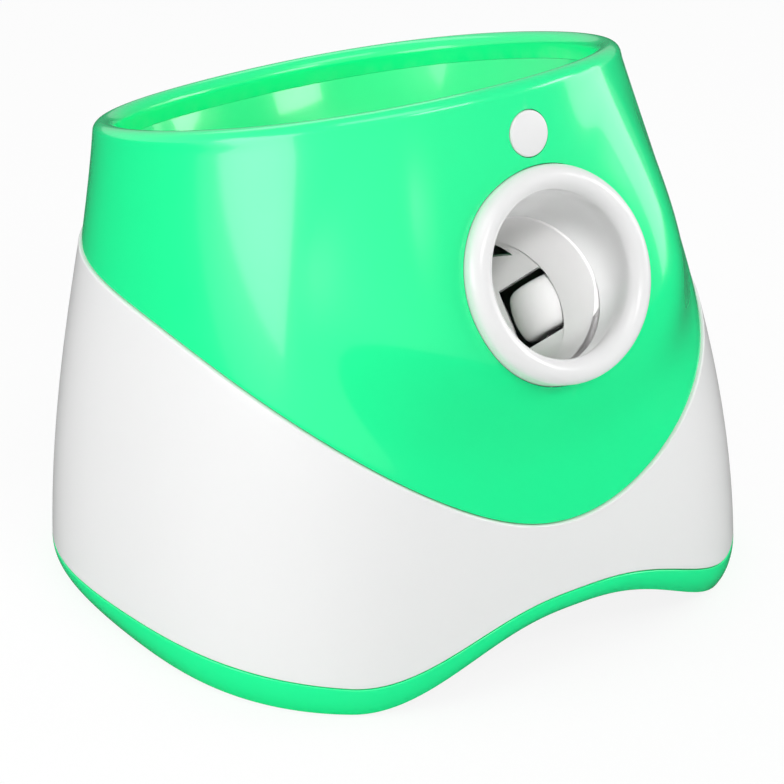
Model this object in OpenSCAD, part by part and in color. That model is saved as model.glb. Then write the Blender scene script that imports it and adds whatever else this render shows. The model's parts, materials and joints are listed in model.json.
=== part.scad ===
// Automatic ball launcher for dogs: a waisted two-tone housing with a tilted hopper on top,
// a round nozzle in front, and inside it a ball duct, two launch wheels and a feed arm.
// Millimetres. The nozzle faces -Y, +Z is up, the origin is under the middle of the housing.

/* [Housing] */
// Half width of the base outline
base_half_width = 119; // [110:1:125]
// Half depth of the base outline
base_half_depth = 117; // [110:1:125]
// Half width of the rim outline
rim_half_width = 84; // [78:1:90]
// Half depth of the rim outline
rim_half_depth = 89; // [84:1:94]
// How far the rim sits behind the base centre
rim_shift = 16.7; // [12:0.1:20]
// Height of the rim above the base centre
rim_height = 176.4; // [170:0.1:185]
// Fall of the rim towards the back, per millimetre
rim_slope = 0.288; // [0.2:0.001:0.32]
// How late the walls lean in: 1 is a straight cone
waist_power = 1.854; // [1.6:0.01:2.1]
// Radius of the rolled lip round the rim
lip_r = 4.2; // [3.6:0.1:4.8]
// Wall thickness of the moulded shells
shell_wall = 2.4; // [2:0.1:3]
// Lowest height of the colour seam, under the nozzle
seam_low = 56; // [50:1:62]
// Height of the colour seam at the sides and the back
seam_high = 118; // [112:1:120]

/* [Base] */
// Height of the front and rear arches
arch_height = 23; // [16:1:24]
// Half angle of each arch
arch_angle = 42; // [34:1:44]
// Height of the trim band over an arch
trim_band = 8.2; // [7:0.1:9]
// Underside of the base plate
plate_z = 27; // [26.5:0.5:28]
// Distance of the feet from the centre lines
foot_offset = 73; // [68:1:76]
// Radius of a rubber foot pad
foot_r = 8; // [6:0.5:9]

/* [Launch] */
// Height of the nozzle centre
nozzle_z = 141; // [139:0.5:142]
// How far the nozzle's face leans back
nozzle_lean = 23.7; // [20:0.1:26]
// How far the middle of the nozzle's face stands out of the housing
nozzle_proud = 5; // [4:0.1:5.5]
// Outside radius of the nozzle lip
nozzle_r = 36.5; // [35:0.1:37]
// Inside radius of the nozzle lip
nozzle_bore_r = 28; // [27.5:0.1:28.5]
// Angle of the ball's path above level
launch_angle = 38; // [36:0.5:40]
// Inside radius of the ball duct, for a 50 mm ball
duct_r = 26.5; // [26:0.1:27]
// Inside radius of the duct's mouth, in front of the wheels
mouth_r = 25.8; // [25.6:0.1:26.2]
// Radius of a launch wheel
wheel_r = 27; // [25:0.5:28]
// Width of a launch wheel's tyre
wheel_w = 18; // [16:0.5:19]
// How far each wheel reaches into the duct
wheel_reach = 4.5; // [3:0.1:5]
// Distance of the wheels behind the nozzle, along the duct
wheel_back = 56; // [54:1:60]

/* [Feed] */
// Tooth size of the feed gears
gear_module = 1.5; // [1.5:0.1:1.5]
// Teeth of the full circle that the feed sector is cut from
sector_teeth = 30; // [30:1:30]
// Teeth of the feed pinion
pinion_teeth = 12; // [12:1:12]
// Thickness of the feed arm
arm_w = 9; // [7:0.5:10]

/* [Controls] */
// Radius of the round button above the nozzle
button_r = 7.75; // [7:0.05:8]
// Height of the button centre
button_z = 185.2; // [184:0.1:185.5]
// Height of the power inlet and the switch on the back
rear_panel_z = 52; // [48:1:58]

/* [Hidden] */
$fn = 48;

green = [0.16, 0.98, 0.60];
white = [0.95, 0.95, 0.95];
light_grey = [0.82, 0.82, 0.83];
dark_grey = [0.22, 0.22, 0.24];
steel = [0.68, 0.70, 0.72];

// --- outline of the housing: a is the angle round it, 0 at the nozzle ---
base_egg = -0.014;
base_corner = -0.043;
rim_egg = 0.008;
rim_corner = -0.018;
stations = 72;
step = 360 / stations;

function swell(a, egg, corner) = 1 + egg * cos(3 * a) + corner * cos(4 * a);
// The base is centred front to back on the origin
base_shift = base_half_depth * (swell(0, base_egg, base_corner) - swell(180, base_egg, base_corner)) / 2;
function outward(a) = [sin(a), -cos(a)];
function base_point(a) = let(k = swell(a, base_egg, base_corner))
    [base_half_width * sin(a) * k, base_shift - base_half_depth * cos(a) * k];
function rim_point(a) = let(k = swell(a, rim_egg, rim_corner))
    [rim_half_width * sin(a) * k, rim_shift - rim_half_depth * cos(a) * k];
function rim_z(a) = rim_height - rim_slope * rim_point(a)[1];

// A point of the outer skin at height z, moved in by inset
function skin(a, z, inset) = let(
    s = max(z, 0) / rim_z(a),
    b = base_point(a),
    p = b + (rim_point(a) - b) * pow(s, waist_power) + outward(a) * (lip_r * pow(s, 6) - inset))
    [p[0], p[1], z];
// A point near the rolled lip: out from its centre line, and up
function lip_point(a, out, up) = let(p = rim_point(a) + outward(a) * out) [p[0], p[1], rim_z(a) + up];

function side_angle(a) = min(abs(a), 360 - abs(a));
function arch(a) = let(t = side_angle(a), u = min(t, 180 - t) / arch_angle)
    u < 1 ? arch_height * pow(cos(90 * pow(u, 1.3)), 2) : 0;
function trim_top(a) = let(t = side_angle(a))
    arch(a) + trim_band + (t < 128 ? 5 * pow(sin(90 * t / 64), 2) : 0);
function seam(a) = seam_high - (seam_high - seam_low) * pow(abs(cos(side_angle(a) / 2)), 12);

// A ring swept round the housing: rows[i] is the closed profile at station i
module ring(rows) {
    n = len(rows);
    m = len(rows[0]);
    points = [for (row = rows) each row];
    faces = [for (i = [0:n - 1], j = [0:m - 1])
        let(i2 = (i + 1) % n, j2 = (j + 1) % m)
        each [[i * m + j, i * m + j2, i2 * m + j2], [i * m + j, i2 * m + j2, i2 * m + j]]];
    polyhedron(points, faces);
}

seam_gap = 0.3;
skirt_wall = 2.5;
step_in = 0.9;      // the upper shell lies this far inside the skirt's surface
tongue = 7;         // each lower edge of a shell reaches this far into the next one
tongue_wall = 2.2;
hook_wall = 2.2;    // the rolled lip is hollow underneath, with walls this thick
skirt_drop = 5;     // its inner edge ends this far below the lip's centre line

function upper_profile(a) = let(
    zs = seam(a) + seam_gap,
    zr = rim_z(a),
    grow = zr - zs,
    inner = step_in + shell_wall,
    hook = lip_r - hook_wall) concat(
    [skin(a, zs - tongue, skirt_wall + seam_gap + tongue_wall),
     skin(a, zs - tongue, skirt_wall + seam_gap),
     skin(a, zs, skirt_wall + seam_gap),
     skin(a, zs, step_in + 0.5),
     skin(a, zs + 0.6, step_in)],
    [for (t = [0.12, 0.26, 0.4, 0.54, 0.67, 0.79, 0.9]) skin(a, zs + grow * t, step_in * (1 - t))],
    [for (u = [0:30:180]) lip_point(a, lip_r * cos(u), lip_r * sin(u))],
    [lip_point(a, -lip_r, -skirt_drop),
     lip_point(a, -hook, -skirt_drop),
     lip_point(a, -hook, 0),
     lip_point(a, 0, hook),
     lip_point(a, hook, 0)],
    [for (t = [0.85, 0.6, 0.35, 0.12]) skin(a, zs + grow * t, inner - step_in * t)],
    [skin(a, zs + 1, skirt_wall + seam_gap + tongue_wall)]);

function lower_profile(a) = let(
    zb = trim_top(a),
    zt = seam(a),
    grow = zt - zb) concat(
    [skin(a, zb, skirt_wall), skin(a, zb, 0.3), skin(a, zb + 0.4, 0)],
    [for (t = [0.15, 0.35, 0.55, 0.75, 0.9]) skin(a, zb + grow * t, 0)],
    [skin(a, zt - 0.6, 0), skin(a, zt, 0.6), skin(a, zt, skirt_wall)],
    [for (t = [0.75, 0.5, 0.25]) skin(a, zb + grow * t, skirt_wall)]);

trim_floor = 0.6;   // the trim's edge clears the ground by this much
function trim_profile(a) = let(
    zb = arch(a) + trim_floor,
    zt = trim_top(a) - seam_gap,
    rise = zt - zb,
    tuck = 3.4) concat(
    [for (t = [0, 0.15, 0.4, 0.75]) skin(a, zb + rise * t, tuck * pow(1 - t, 2.2))],
    [skin(a, zt, 0),
     skin(a, zt, skirt_wall + seam_gap),
     skin(a, zt + 6, skirt_wall + seam_gap),
     skin(a, zt + 6, skirt_wall + seam_gap + 1.8),
     skin(a, zt, skirt_wall + seam_gap + 1.8),
     skin(a, zb, tuck + 3)]);

// --- hopper, duct and nozzle ---
plate_wall = 2.5;
plate_top = plate_z + plate_wall;
duct_wall = 2.5;
duct_outer_r = duct_r + duct_wall;
function lean(z) = atan((skin(0, z + 1, 0)[1] - skin(0, z - 1, 0)[1]) / 2);
nozzle_y = skin(0, nozzle_z, nozzle_proud * -1)[1];
seat_z = plate_top + duct_outer_r + 0.1;                     // where a waiting ball rests
seat_back = (nozzle_z - seat_z) / sin(launch_angle);      // along the duct, from the nozzle
seat_y = nozzle_y + seat_back * cos(launch_angle);
duct_front = 18;            // depth of the joint between nozzle and duct
collar_r = 28.5;            // inside radius from the nozzle's lip to the duct's mouth
mouth_start = 18.5;         // the mouth begins and ends this far down the duct
mouth_end = 40;
throat_z = 110.8;             // height of the hopper's throat on its centre line
throat_tilt = 0.32;         // the throat rises towards the front
throat_tilt_angle = atan(throat_tilt);
function throat_point(a, r, drop) =
    [r * sin(a), seat_y - r * cos(a), throat_z + throat_tilt * r * cos(a) - drop];

module nozzle_frame() translate([0, nozzle_y, nozzle_z]) rotate([90 - nozzle_lean, 0, 0]) children();
module launch_frame() translate([0, nozzle_y, nozzle_z]) rotate([90 - launch_angle, 0, 0]) children();

function blend(p, q, t) = p + (q - p) * t;
bowl_wall = 2.4;
// Height of the turn from the steep wall to the floor that runs to the throat
function bowl_turn(a) = 112 + 37 * pow((1 + cos(a)) / 2, 1.5);
// A point of the bowl's section, t from 0 at the top to 1 at the throat
function bowl_point(a, t, thick) = let(
    top = lip_point(a, thick - lip_r, -skirt_drop - seam_gap - thick),
    in = rim_point(a) - outward(a) * (lip_r + 16 - thick * 0.4),
    low = [in[0], in[1], bowl_turn(a) - thick],
    end = throat_point(a, duct_r + 0.5 + thick * 0.6, thick * 0.5),
    s = 1 - t)
    s * s * s * top + 3 * s * s * t * blend(top, low, 0.95)
    + 3 * s * t * t * blend(low, end, 0.25) + t * t * t * end;
// The bowl's upper edge stands in the hollow of the rolled lip
function bowl_profile(a) = let(
    hook = lip_r - hook_wall,
    back = 0.25) concat(
    [for (t = [0:0.125:1]) bowl_point(a, t, 0)],
    [for (t = [1:-0.125:0]) bowl_point(a, t, bowl_wall)],
    [lip_point(a, -back, -skirt_drop - 1.5),
     lip_point(a, -back, -1.2),
     lip_point(a, back - hook, -1.2),
     lip_point(a, back - hook, -skirt_drop - seam_gap)]);

module upper_shell() {
    color(green)
        difference() {
            union() {
                ring([for (i = [0:stations - 1]) upper_profile(i * step)]);
                for (x = [-1, 1])
                    button_frame()
                        translate([x * post_x, 0, -board_depth])
                            cylinder(r = 2.4, h = board_depth - 1.6);
            }
            nozzle_frame()
                translate([0, 0, -30])
                    cylinder(r = nozzle_r + seam_gap, h = 45);
            button_frame()
                translate([0, 0, -15])
                    cylinder(r = button_r + seam_gap, h = 30);
        }
}

module lower_shell() {
    color(white)
        difference() {
            union() {
                ring([for (i = [0:stations - 1]) lower_profile(i * step)]);
                for (a = [45, 135, 225, 315])
                    rotate([0, 0, a - 90])
                        translate([foot_offset * sqrt(2), 0, plate_top + 0.1]) {
                            cylinder(r = 5, h = 24);
                            translate([0, -1.2, 0])
                                cube([boss_reach(a), 2.4, 15.5]);
                        }
            }
            at_feet()
                translate([0, 0, plate_top - 1])
                    cylinder(r = base_screw_r + 0.05, h = 20);
            translate([inlet_x, inlet_y - 10, rear_panel_z])
                rotate([-90, 0, 0])
                    cylinder(r = inlet_r + 0.3, h = 20);
            translate([switch_x - 9.7, rear_y - 10, rear_panel_z - 6.7])
                cube([19.4, 20, 13.4]);
        }
}

module base_trim() {
    color(green)
        ring([for (i = [0:stations - 1]) trim_profile(i * step)]);
}

base_screw_r = 1.7;
// From a screw boss out into the skirt's wall
function boss_reach(a) = let(p = skin(a, plate_top + 12, skirt_wall / 2))
    norm([p[0], p[1]]) - foot_offset * sqrt(2);
leg_r = 10.5;
leg_floor = 1.3;
pad_seat = 1.7;
plate_inset = 8.2;          // from the housing's skin in to the base plate's edge
module at_feet() {
    for (x = [-1, 1], y = [-1, 1])
        translate([x * foot_offset, y * foot_offset, 0])
            children();
}

module base_plate() {
    color(dark_grey)
        difference() {
            union() {
                translate([0, 0, plate_z])
                    linear_extrude(plate_wall)
                        polygon([for (i = [0:stations - 1])
                            let(p = skin(i * step, plate_z, plate_inset)) [p[0], p[1]]]);
                at_feet()
                    translate([0, 0, leg_floor])
                        cylinder(r = leg_r, h = plate_z - leg_floor + 1);
                board_corners()
                    translate([0, 0, plate_top - 0.5])
                        cylinder(r = 3.2, h = board[2] - plate_top + 0.5);
            }
            board_corners()
                translate([0, 0, plate_top])
                    cylinder(r = 1.4, h = 12);
            for (p = concat(bracket_screw_spots, cradle_screw_spots))
                translate([p[0], p[1], plate_z - 1])
                    cylinder(r = 1.5, h = 6);
            at_feet() {
                cylinder(r = foot_r + 0.1, h = leg_floor + pad_seat);
                translate([0, 0, leg_floor])
                    cylinder(r = base_screw_r + 0.1, h = plate_top);
                translate([0, 0, leg_floor + pad_seat + 3])
                    cylinder(r = 3.6, h = plate_z - 6);
            }
        }
}

module foot_pads() {
    color(dark_grey)
        at_feet()
            difference() {
                cylinder(r = foot_r, h = leg_floor + pad_seat);
                translate([0, 0, -1])
                    cylinder(r = 4, h = leg_floor + pad_seat + 2);
            }
}

module hopper_funnel() {
    color(green)
        ring([for (i = [0:stations - 1]) bowl_profile(i * step)]);
}

ear_spots = [for (x = [-1, 1], v = [-15, 22]) [36 * x, v]];
ear_r = 4.5;
joint_wall = 2.5;
// The four screw ears of the joint between nozzle and duct
module ears(z) {
    for (p = ear_spots)
        rotate([0, 0, atan2(p[1], p[0])])
            translate([20, -ear_r, z]) {
                cube([norm(p) - 20, 2 * ear_r, joint_wall]);
                translate([norm(p) - 20, ear_r, 0])
                    cylinder(r = ear_r, h = joint_wall);
            }
}
module ear_holes(r) {
    for (p = ear_spots)
        translate([p[0], p[1], -duct_front - 6])
            cylinder(r = r, h = 12);
}

module collar_bore() {
    launch_frame()
        translate([0, 0, -mouth_start])
            cylinder(r = collar_r, h = mouth_start + 20);
}

module nozzle() {
    lip_w = nozzle_r - nozzle_bore_r;
    color(white) {
        difference() {
            nozzle_frame()
                translate([0, 0, -duct_front]) {
                    cylinder(r = nozzle_r, h = duct_front);
                    ears(0);
                }
            collar_bore();
            launch_frame()
                translate([0, 0, -60])
                    cylinder(r = duct_outer_r + 0.1, h = 60 - mouth_start);
            nozzle_frame()
                ear_holes(1.35);
        }
        nozzle_frame()
            rotate_extrude()
                translate([nozzle_bore_r + lip_w / 2, 0])
                    circle(r = lip_w / 2);
    }
}

sleeve_r = collar_r + duct_wall;
sleeve_len = 12;            // from the mouth's shoulder back to the plain duct
module duct_outside() {
    launch_frame()
        translate([0, 0, -seat_back])
            cylinder(r = duct_outer_r, h = seat_back - mouth_start);
    difference() {
        launch_frame()
            translate([0, 0, -mouth_start - sleeve_len])
                cylinder(r = sleeve_r, h = mouth_start + sleeve_len);
        nozzle_frame()
            translate([-60, -60, -duct_front])
                cube([120, 120, 60]);
    }
    translate([0, seat_y, seat_z])
        sphere(r = duct_outer_r + elbow_swell);
    translate([0, seat_y, seat_z])
        cylinder(r = duct_outer_r, h = 70);
    nozzle_frame()
        translate([0, 0, -duct_front - joint_wall]) {
            cylinder(r = nozzle_r, h = joint_wall);
            ears(0);
        }
}

slot_half = wheel_w / 2 + 2.4;
wheel_gap = 1.4;            // room round a wheel in its pocket
elbow_swell = 0.1;          // the ball seat is this much wider than the duct
module duct_inside() {
    launch_frame() {
        translate([0, 0, -seat_back])
            cylinder(r = duct_r, h = seat_back - mouth_end);
        translate([0, 0, -mouth_end - 1])
            cylinder(r = mouth_r, h = mouth_end + 20);
    }
    collar_bore();
    for (side = [-1, 1])
        wheel_frame(side)
            translate([0, 0, -slot_half])
                cylinder(r = wheel_r + wheel_gap, h = 2 * slot_half);
    translate([0, seat_y, seat_z])
        sphere(r = duct_r + elbow_swell);
    translate([0, seat_y, seat_z])
        cylinder(r = duct_r, h = 80);
    translate([-arm_slot / 2, seat_y + 10, plate_top + 3.5])
        cube([arm_slot, 40, 62]);
    for (x = [-1, 1])
        translate([0, seat_y, seat_z])
            rotate([0, x * 90, 0])
                cylinder(r = 2.6, h = 40);
    nozzle_frame()
        ear_holes(1.35);
}

module ball_duct() {
    color(light_grey)
        difference() {
            duct_outside();
            duct_inside();
            translate([0, seat_y, throat_z - 2.4])
                rotate([-throat_tilt_angle, 0, 0])
                    translate([-40, -duct_outer_r - 7, 0])
                        cube([80, 90, 60]);
        }
}

cradle_screw_spots = [for (x = [-1, 1], y = [-45, -13]) [28 * x, y]];
module duct_cradle() {
    color(dark_grey)
        difference() {
            union() {
                for (x = [-21, 18])
                    translate([x, -52, plate_top])
                        cube([3, 50, 46]);
                for (y = [-45, -13])
                    translate([-28, y - 5, plate_top]) {
                        cube([56, 10, 3]);
                        for (x = [0, 56])
                            translate([x, 5, 0])
                                cylinder(r = 5, h = 3);
                    }
            }
            for (p = cradle_screw_spots)
                translate([p[0], p[1], plate_top - 1])
                    cylinder(r = 1.5, h = 6);
            launch_frame()
                translate([0, 0, -seat_back])
                    cylinder(r = duct_outer_r, h = seat_back + 40);
            launch_frame()
                translate([-60, 0, -seat_back - 60])
                    cube([120, 120, seat_back + 120]);
            translate([0, seat_y, seat_z])
                sphere(r = duct_outer_r + elbow_swell);
        }
}

// --- launch wheels: local +Y runs along the wheel axle ---
wheel_x = duct_r - wheel_reach + wheel_r;
motor_r = 14;
motor_len = 36;
plate_low = wheel_w / 2 + 3;     // from the wheel's middle down to its plate
wheel_plate = 3;
shaft_r = 1.6;

module wheel_frame(side) {
    launch_frame()
        translate([side * wheel_x, 0, -wheel_back])
            rotate([-90, 0, 0])
                children();
}

module tyre(side) {
    color([0.93, 0.93, 0.92])
        wheel_frame(side)
            rotate_extrude()
                polygon(concat(
                    [[wheel_r - 6, -wheel_w / 2], [wheel_r - 2, -wheel_w / 2]],
                    [for (t = [-1:0.25:1]) [wheel_r - 1.6 * t * t, t * (wheel_w / 2 - 1)]],
                    [[wheel_r - 2, wheel_w / 2], [wheel_r - 6, wheel_w / 2]]));
}

module hub(side) {
    rim_r = wheel_r - 6;
    color(light_grey)
        wheel_frame(side)
            difference() {
                translate([0, 0, -wheel_w / 2])
                    cylinder(r = rim_r, h = wheel_w);
                for (z = [-wheel_w / 2 - 1, 2])
                    translate([0, 0, z])
                        difference() {
                            cylinder(r = rim_r - 2.5, h = wheel_w / 2 - 1);
                            cylinder(r = 5, h = wheel_w / 2 - 1);
                            for (k = [0:5])
                                rotate([0, 0, 60 * k])
                                    translate([0, -1, 0])
                                        cube([rim_r, 2, wheel_w]);
                        }
                translate([0, 0, -wheel_w])
                    cylinder(r = shaft_r, h = 2 * wheel_w);
            }
}

module shaft(side) {
    color(steel)
        wheel_frame(side)
            translate([0, 0, -plate_low - wheel_plate - 12])
                cylinder(r = shaft_r, h = plate_low + wheel_plate + 12 + wheel_w / 2 + 1);
}

module motor(side) {
    color(steel)
        wheel_frame(side)
            translate([0, 0, -plate_low - wheel_plate])
                difference() {
                    union() {
                        translate([0, 0, -motor_len])
                            cylinder(r = motor_r, h = motor_len);
                        translate([0, 0, -motor_len - 2])
                            cylinder(r = 5, h = 3);
                        for (x = [-8.5, 8])
                            translate([x, -1.5, -motor_len - 4])
                                cube([0.5, 3, 5]);
                        cylinder(r = 4, h = 2);
                    }
                    translate([0, 0, -13])
                        cylinder(r = shaft_r + 0.04, h = 20);
                    for (x = [-1, 1])
                        translate([x * 8, 0, -4])
                            cylinder(r = 1.3, h = 5);
                }
}

// A flat plate under each wheel, with a saddle that lies along the duct's side
saddle_wall = 2.5;
module wheel_plate_part(side) {
    color(dark_grey)
        difference() {
            union() {
                wheel_frame(side)
                    translate([side > 0 ? -27 : -19, -21, -plate_low - wheel_plate])
                        cube([46, 42, wheel_plate]);
                launch_frame()
                    translate([0, 0, -wheel_back - 21])
                        intersection() {
                            cylinder(r = duct_outer_r + saddle_wall, h = 42);
                            translate([side > 0 ? 21.5 : -33.5, -18, 0])
                                cube([12, 6, 42]);
                        }
            }
            wheel_frame(side)
                translate([0, 0, -plate_low - wheel_plate - 1]) {
                    cylinder(r = 4.1, h = wheel_plate + 2);
                    for (x = [-8, 8])
                        translate([x, 0, 0])
                            cylinder(r = 1.5, h = wheel_plate + 2);
                }
            launch_frame()
                translate([0, 0, -seat_back - 20])
                    cylinder(r = duct_outer_r, h = seat_back + 40);
        }
}

// --- feed arm and its gears: the arm swings about X ---
arm_slot = arm_w + 3;
pivot = [0, seat_y + 39.4, seat_z + 33.4];
push_in = [0, cos(launch_angle), -sin(launch_angle)];
tip_r = 5;
tip = [0, seat_y, seat_z] + push_in * (25 + tip_r + 0.5);
pressure_angle = 20;
backlash = 0.16;
mesh_angle = -60;
gear_distance = gear_module * (sector_teeth + pinion_teeth) / 2;
pinion_centre = pivot + [0, gear_distance * cos(mesh_angle), gear_distance * sin(mesh_angle)];
gear_x = 8;
gear_w = 6;
cheek_left_x = -12;
cheek_right_x = 17;
cheek_w = 3;

function involute(a) = tan(a) * 180 / PI - a;
// Half the angle that a tooth covers at radius r
function tooth_half(teeth, r) = let(
    pitch_r = gear_module * teeth / 2,
    base_r = pitch_r * cos(pressure_angle),
    a = r > base_r ? acos(base_r / r) : 0)
    90 / teeth + involute(pressure_angle) - involute(a) - backlash / 2 / pitch_r * 180 / PI;

module tooth(teeth, at) {
    pitch_r = gear_module * teeth / 2;
    root_r = pitch_r - 1.25 * gear_module;
    tip_radius = pitch_r + 0.95 * gear_module;
    radii = [for (k = [0:5]) root_r - 0.5 + (tip_radius - root_r + 0.5) * k / 5];
    rotate([0, 0, at])
        polygon(concat(
            [for (r = radii) let(h = tooth_half(teeth, r)) r * [cos(h), -sin(h)]],
            [for (k = [5:-1:0]) let(r = radii[k], h = tooth_half(teeth, r)) r * [cos(h), sin(h)]]));
}

// Lays a drawing in the YZ plane at distance x, with its thickness towards +X
module side_on(x) {
    translate([x, 0, 0])
        rotate([90, 0, 90])
            children();
}

module disc_at(p, r, x, w) {
    side_on(x)
        translate([p[1], p[2], 0])
            cylinder(r = r, h = w);
}

module feed_arm() {
    root_r = gear_module * (sector_teeth / 2 - 1.25);
    color([0.93, 0.62, 0.20])
        difference() {
            union() {
                disc_at(pivot, 7, -8.5, 23);
                side_on(-arm_w / 2)
                    linear_extrude(arm_w)
                        polygon(arm_outline());
                disc_at(tip, tip_r, -arm_w / 2, arm_w);
                side_on(gear_x)
                    translate([pivot[1], pivot[2], 0]) {
                        intersection() {
                            cylinder(r = root_r, h = gear_w);
                            linear_extrude(gear_w)
                                polygon([[0, 0], for (u = [-80:10:8]) 40 * [cos(u), sin(u)]]);
                        }
                        for (k = [-1:5])
                            linear_extrude(gear_w)
                                tooth(sector_teeth, mesh_angle + k * 360 / sector_teeth);
                    }
            }
            disc_at(pivot, feed_shaft_r, -20, 50);
        }
}
feed_shaft_r = 3;
// The arm tapers from its hub to its tip
function arm_outline() = let(
    run = [tip[1] - pivot[1], tip[2] - pivot[2]],
    along = run / norm(run),
    across = [-along[1], along[0]],
    top = [pivot[1], pivot[2]],
    low = [tip[1], tip[2]])
    [top + across * 6, low + across * tip_r * 0.95, low - across * tip_r * 0.95, top - across * 6];

module feed_shaft() {
    color(steel)
        disc_at(pivot, feed_shaft_r, cheek_left_x - 1.5, cheek_right_x - cheek_left_x + cheek_w + 3);
}

module feed_pinion() {
    root_r = gear_module * (pinion_teeth / 2 - 1.25);
    color(white)
        side_on(gear_x - 0.5)
            translate([pinion_centre[1], pinion_centre[2], 0])
                difference() {
                    union() {
                        cylinder(r = root_r, h = gear_w + 1);
                        for (k = [0:pinion_teeth - 1])
                            linear_extrude(gear_w + 1)
                                tooth(pinion_teeth, mesh_angle + 180 + (k + 0.5) * 360 / pinion_teeth);
                    }
                    translate([0, 0, -1])
                        cylinder(r = pinion_shaft_r, h = gear_w + 4);
                }
}
pinion_shaft_r = 2;

module pinion_shaft() {
    color(steel)
        disc_at(pinion_centre, pinion_shaft_r, gear_x - 1.5, 24);
}

module feed_bracket() {
    color(dark_grey)
        difference() {
            union() {
                cheek(cheek_left_x, [[pivot, 8]], 42, 62);
                cheek(cheek_right_x, [[pivot, 9], [pinion_centre, 14.5]], 42, 84);
                translate([cheek_left_x, 42, plate_top])
                    cube([cheek_right_x - cheek_left_x + cheek_w, 42, 3]);
            }
            disc_at(pivot, feed_shaft_r + 0.05, -30, 80);
            disc_at(pinion_centre, 3.8, cheek_right_x - 1, 8);
            for (u = [45, 225])
                disc_at(pinion_centre + [0, 8.5 * cos(u), 8.5 * sin(u)], 1.5, cheek_right_x - 1, 8);
            for (p = bracket_screw_spots)
                translate([p[0], p[1], plate_top - 1])
                    cylinder(r = 1.5, h = 6);
        }
}
bracket_screw_spots = [[-6, 76], [12, 76]];
// An upright plate that joins discs to a foot on the base plate
module cheek(x, discs, y_front, y_back) {
    side_on(x)
        linear_extrude(cheek_w)
            hull() {
                for (d = discs)
                    translate([d[0][1], d[0][2]])
                        circle(r = d[1], $fn = 32);
                translate([y_front, plate_top])
                    square([y_back - y_front, 3]);
            }
}

module feed_motor() {
    x0 = cheek_right_x + cheek_w;
    color(steel)
        difference() {
            union() {
                disc_at(pinion_centre, 12.5, x0, 19);
                disc_at(pinion_centre, 3.7, x0 - cheek_w + 0.5, 4);
                disc_at(pinion_centre, 12, x0 + 19, 30);
                disc_at(pinion_centre, 4, x0 + 49, 2);
            }
            disc_at(pinion_centre, pinion_shaft_r + 0.04, x0 - 10, 22);
            for (u = [45, 225])
                disc_at(pinion_centre + [0, 8.5 * cos(u), 8.5 * sin(u)], 1.3, x0 - 1, 6);
        }
}

module limit_switch() {
    x0 = cheek_left_x - 6.5;
    color(dark_grey) {
        translate([x0, pivot[1] - 6, pivot[2] - 32])
            cube([6.5, 12, 20]);
        translate([x0 + 2, pivot[1] - 8, pivot[2] - 30])
            cube([2.4, 2.2, 12]);
    }
}

module ball_sensors() {
    for (x = [-1, 1])
        translate([0, seat_y, seat_z])
            rotate([0, x * 90, 0]) {
                color(dark_grey)
                    translate([0, 0, duct_r + 0.3])
                        cylinder(r = 2.5, h = 4);
                color([0.1, 0.45, 0.25])
                    translate([-6, -5, duct_outer_r + 1.2])
                        cube([12, 10, 1.6]);
            }
}

// --- button, boards, power ---
button_lean = lean(button_z);
button_y = skin(0, button_z, 0)[1];
module button_frame() translate([0, button_y, button_z]) rotate([90 - button_lean, 0, 0]) children();

flange_depth = 4.2;     // from the skin to the back of the button's flange
board_depth = 7.4;      // from the skin to the face of the switch board
post_x = 12;
module mode_button() {
    color(white)
        button_frame() {
            intersection() {
                translate([0, 0, -flange_depth])
                    cylinder(r = button_r, h = 8);
                translate([0, 0, -39])
                    sphere(r = 40);
            }
            translate([0, 0, -flange_depth])
                cylinder(r = button_r + 1, h = 1.2);
        }
}

module button_board() {
    plunger = 1.6;
    color([0.1, 0.45, 0.25])
        button_frame() {
            translate([-post_x - 4, -5, -board_depth - 1])
                cube([2 * post_x + 8, 10, 1]);
            translate([-3, -3, -board_depth])
                cube([6, 6, 1.1]);
            translate([0, 0, -board_depth])
                cylinder(r = 1.5, h = plunger);
        }
}

board = [-90, -4, 36];
board_size = [48, 60, 1.6];
module board_corners() {
    for (x = [4, board_size[0] - 4], y = [4, board_size[1] - 4])
        translate([board[0] + x, board[1] + y, 0])
            children();
}

module main_board() {
    color([0.1, 0.45, 0.25])
        difference() {
            translate(board)
                cube(board_size);
            board_corners()
                translate([0, 0, plate_top])
                    cylinder(r = 1.4, h = 12);
        }
}

module board_parts() {
    top = board[2] + board_size[2];
    translate([board[0], board[1], top]) {
        color(dark_grey) {
            translate([18, 24, 0])
                cube([12, 12, 1.4]);
            translate([34, 12, 0])
                cylinder(r = 6, h = 8);
        }
        color([0.2, 0.25, 0.6])
            for (y = [44, 54])
                translate([14, y, 0])
                    cylinder(r = 4, h = 13);
        color(white)
            for (y = [14, 24, 34])
                translate([2, y, 0])
                    cube([6, 8, 7]);
        color(steel)
            for (x = [26, 38])
                translate([x, 46, 0])
                    cube([10, 4, 12]);
    }
}

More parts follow.
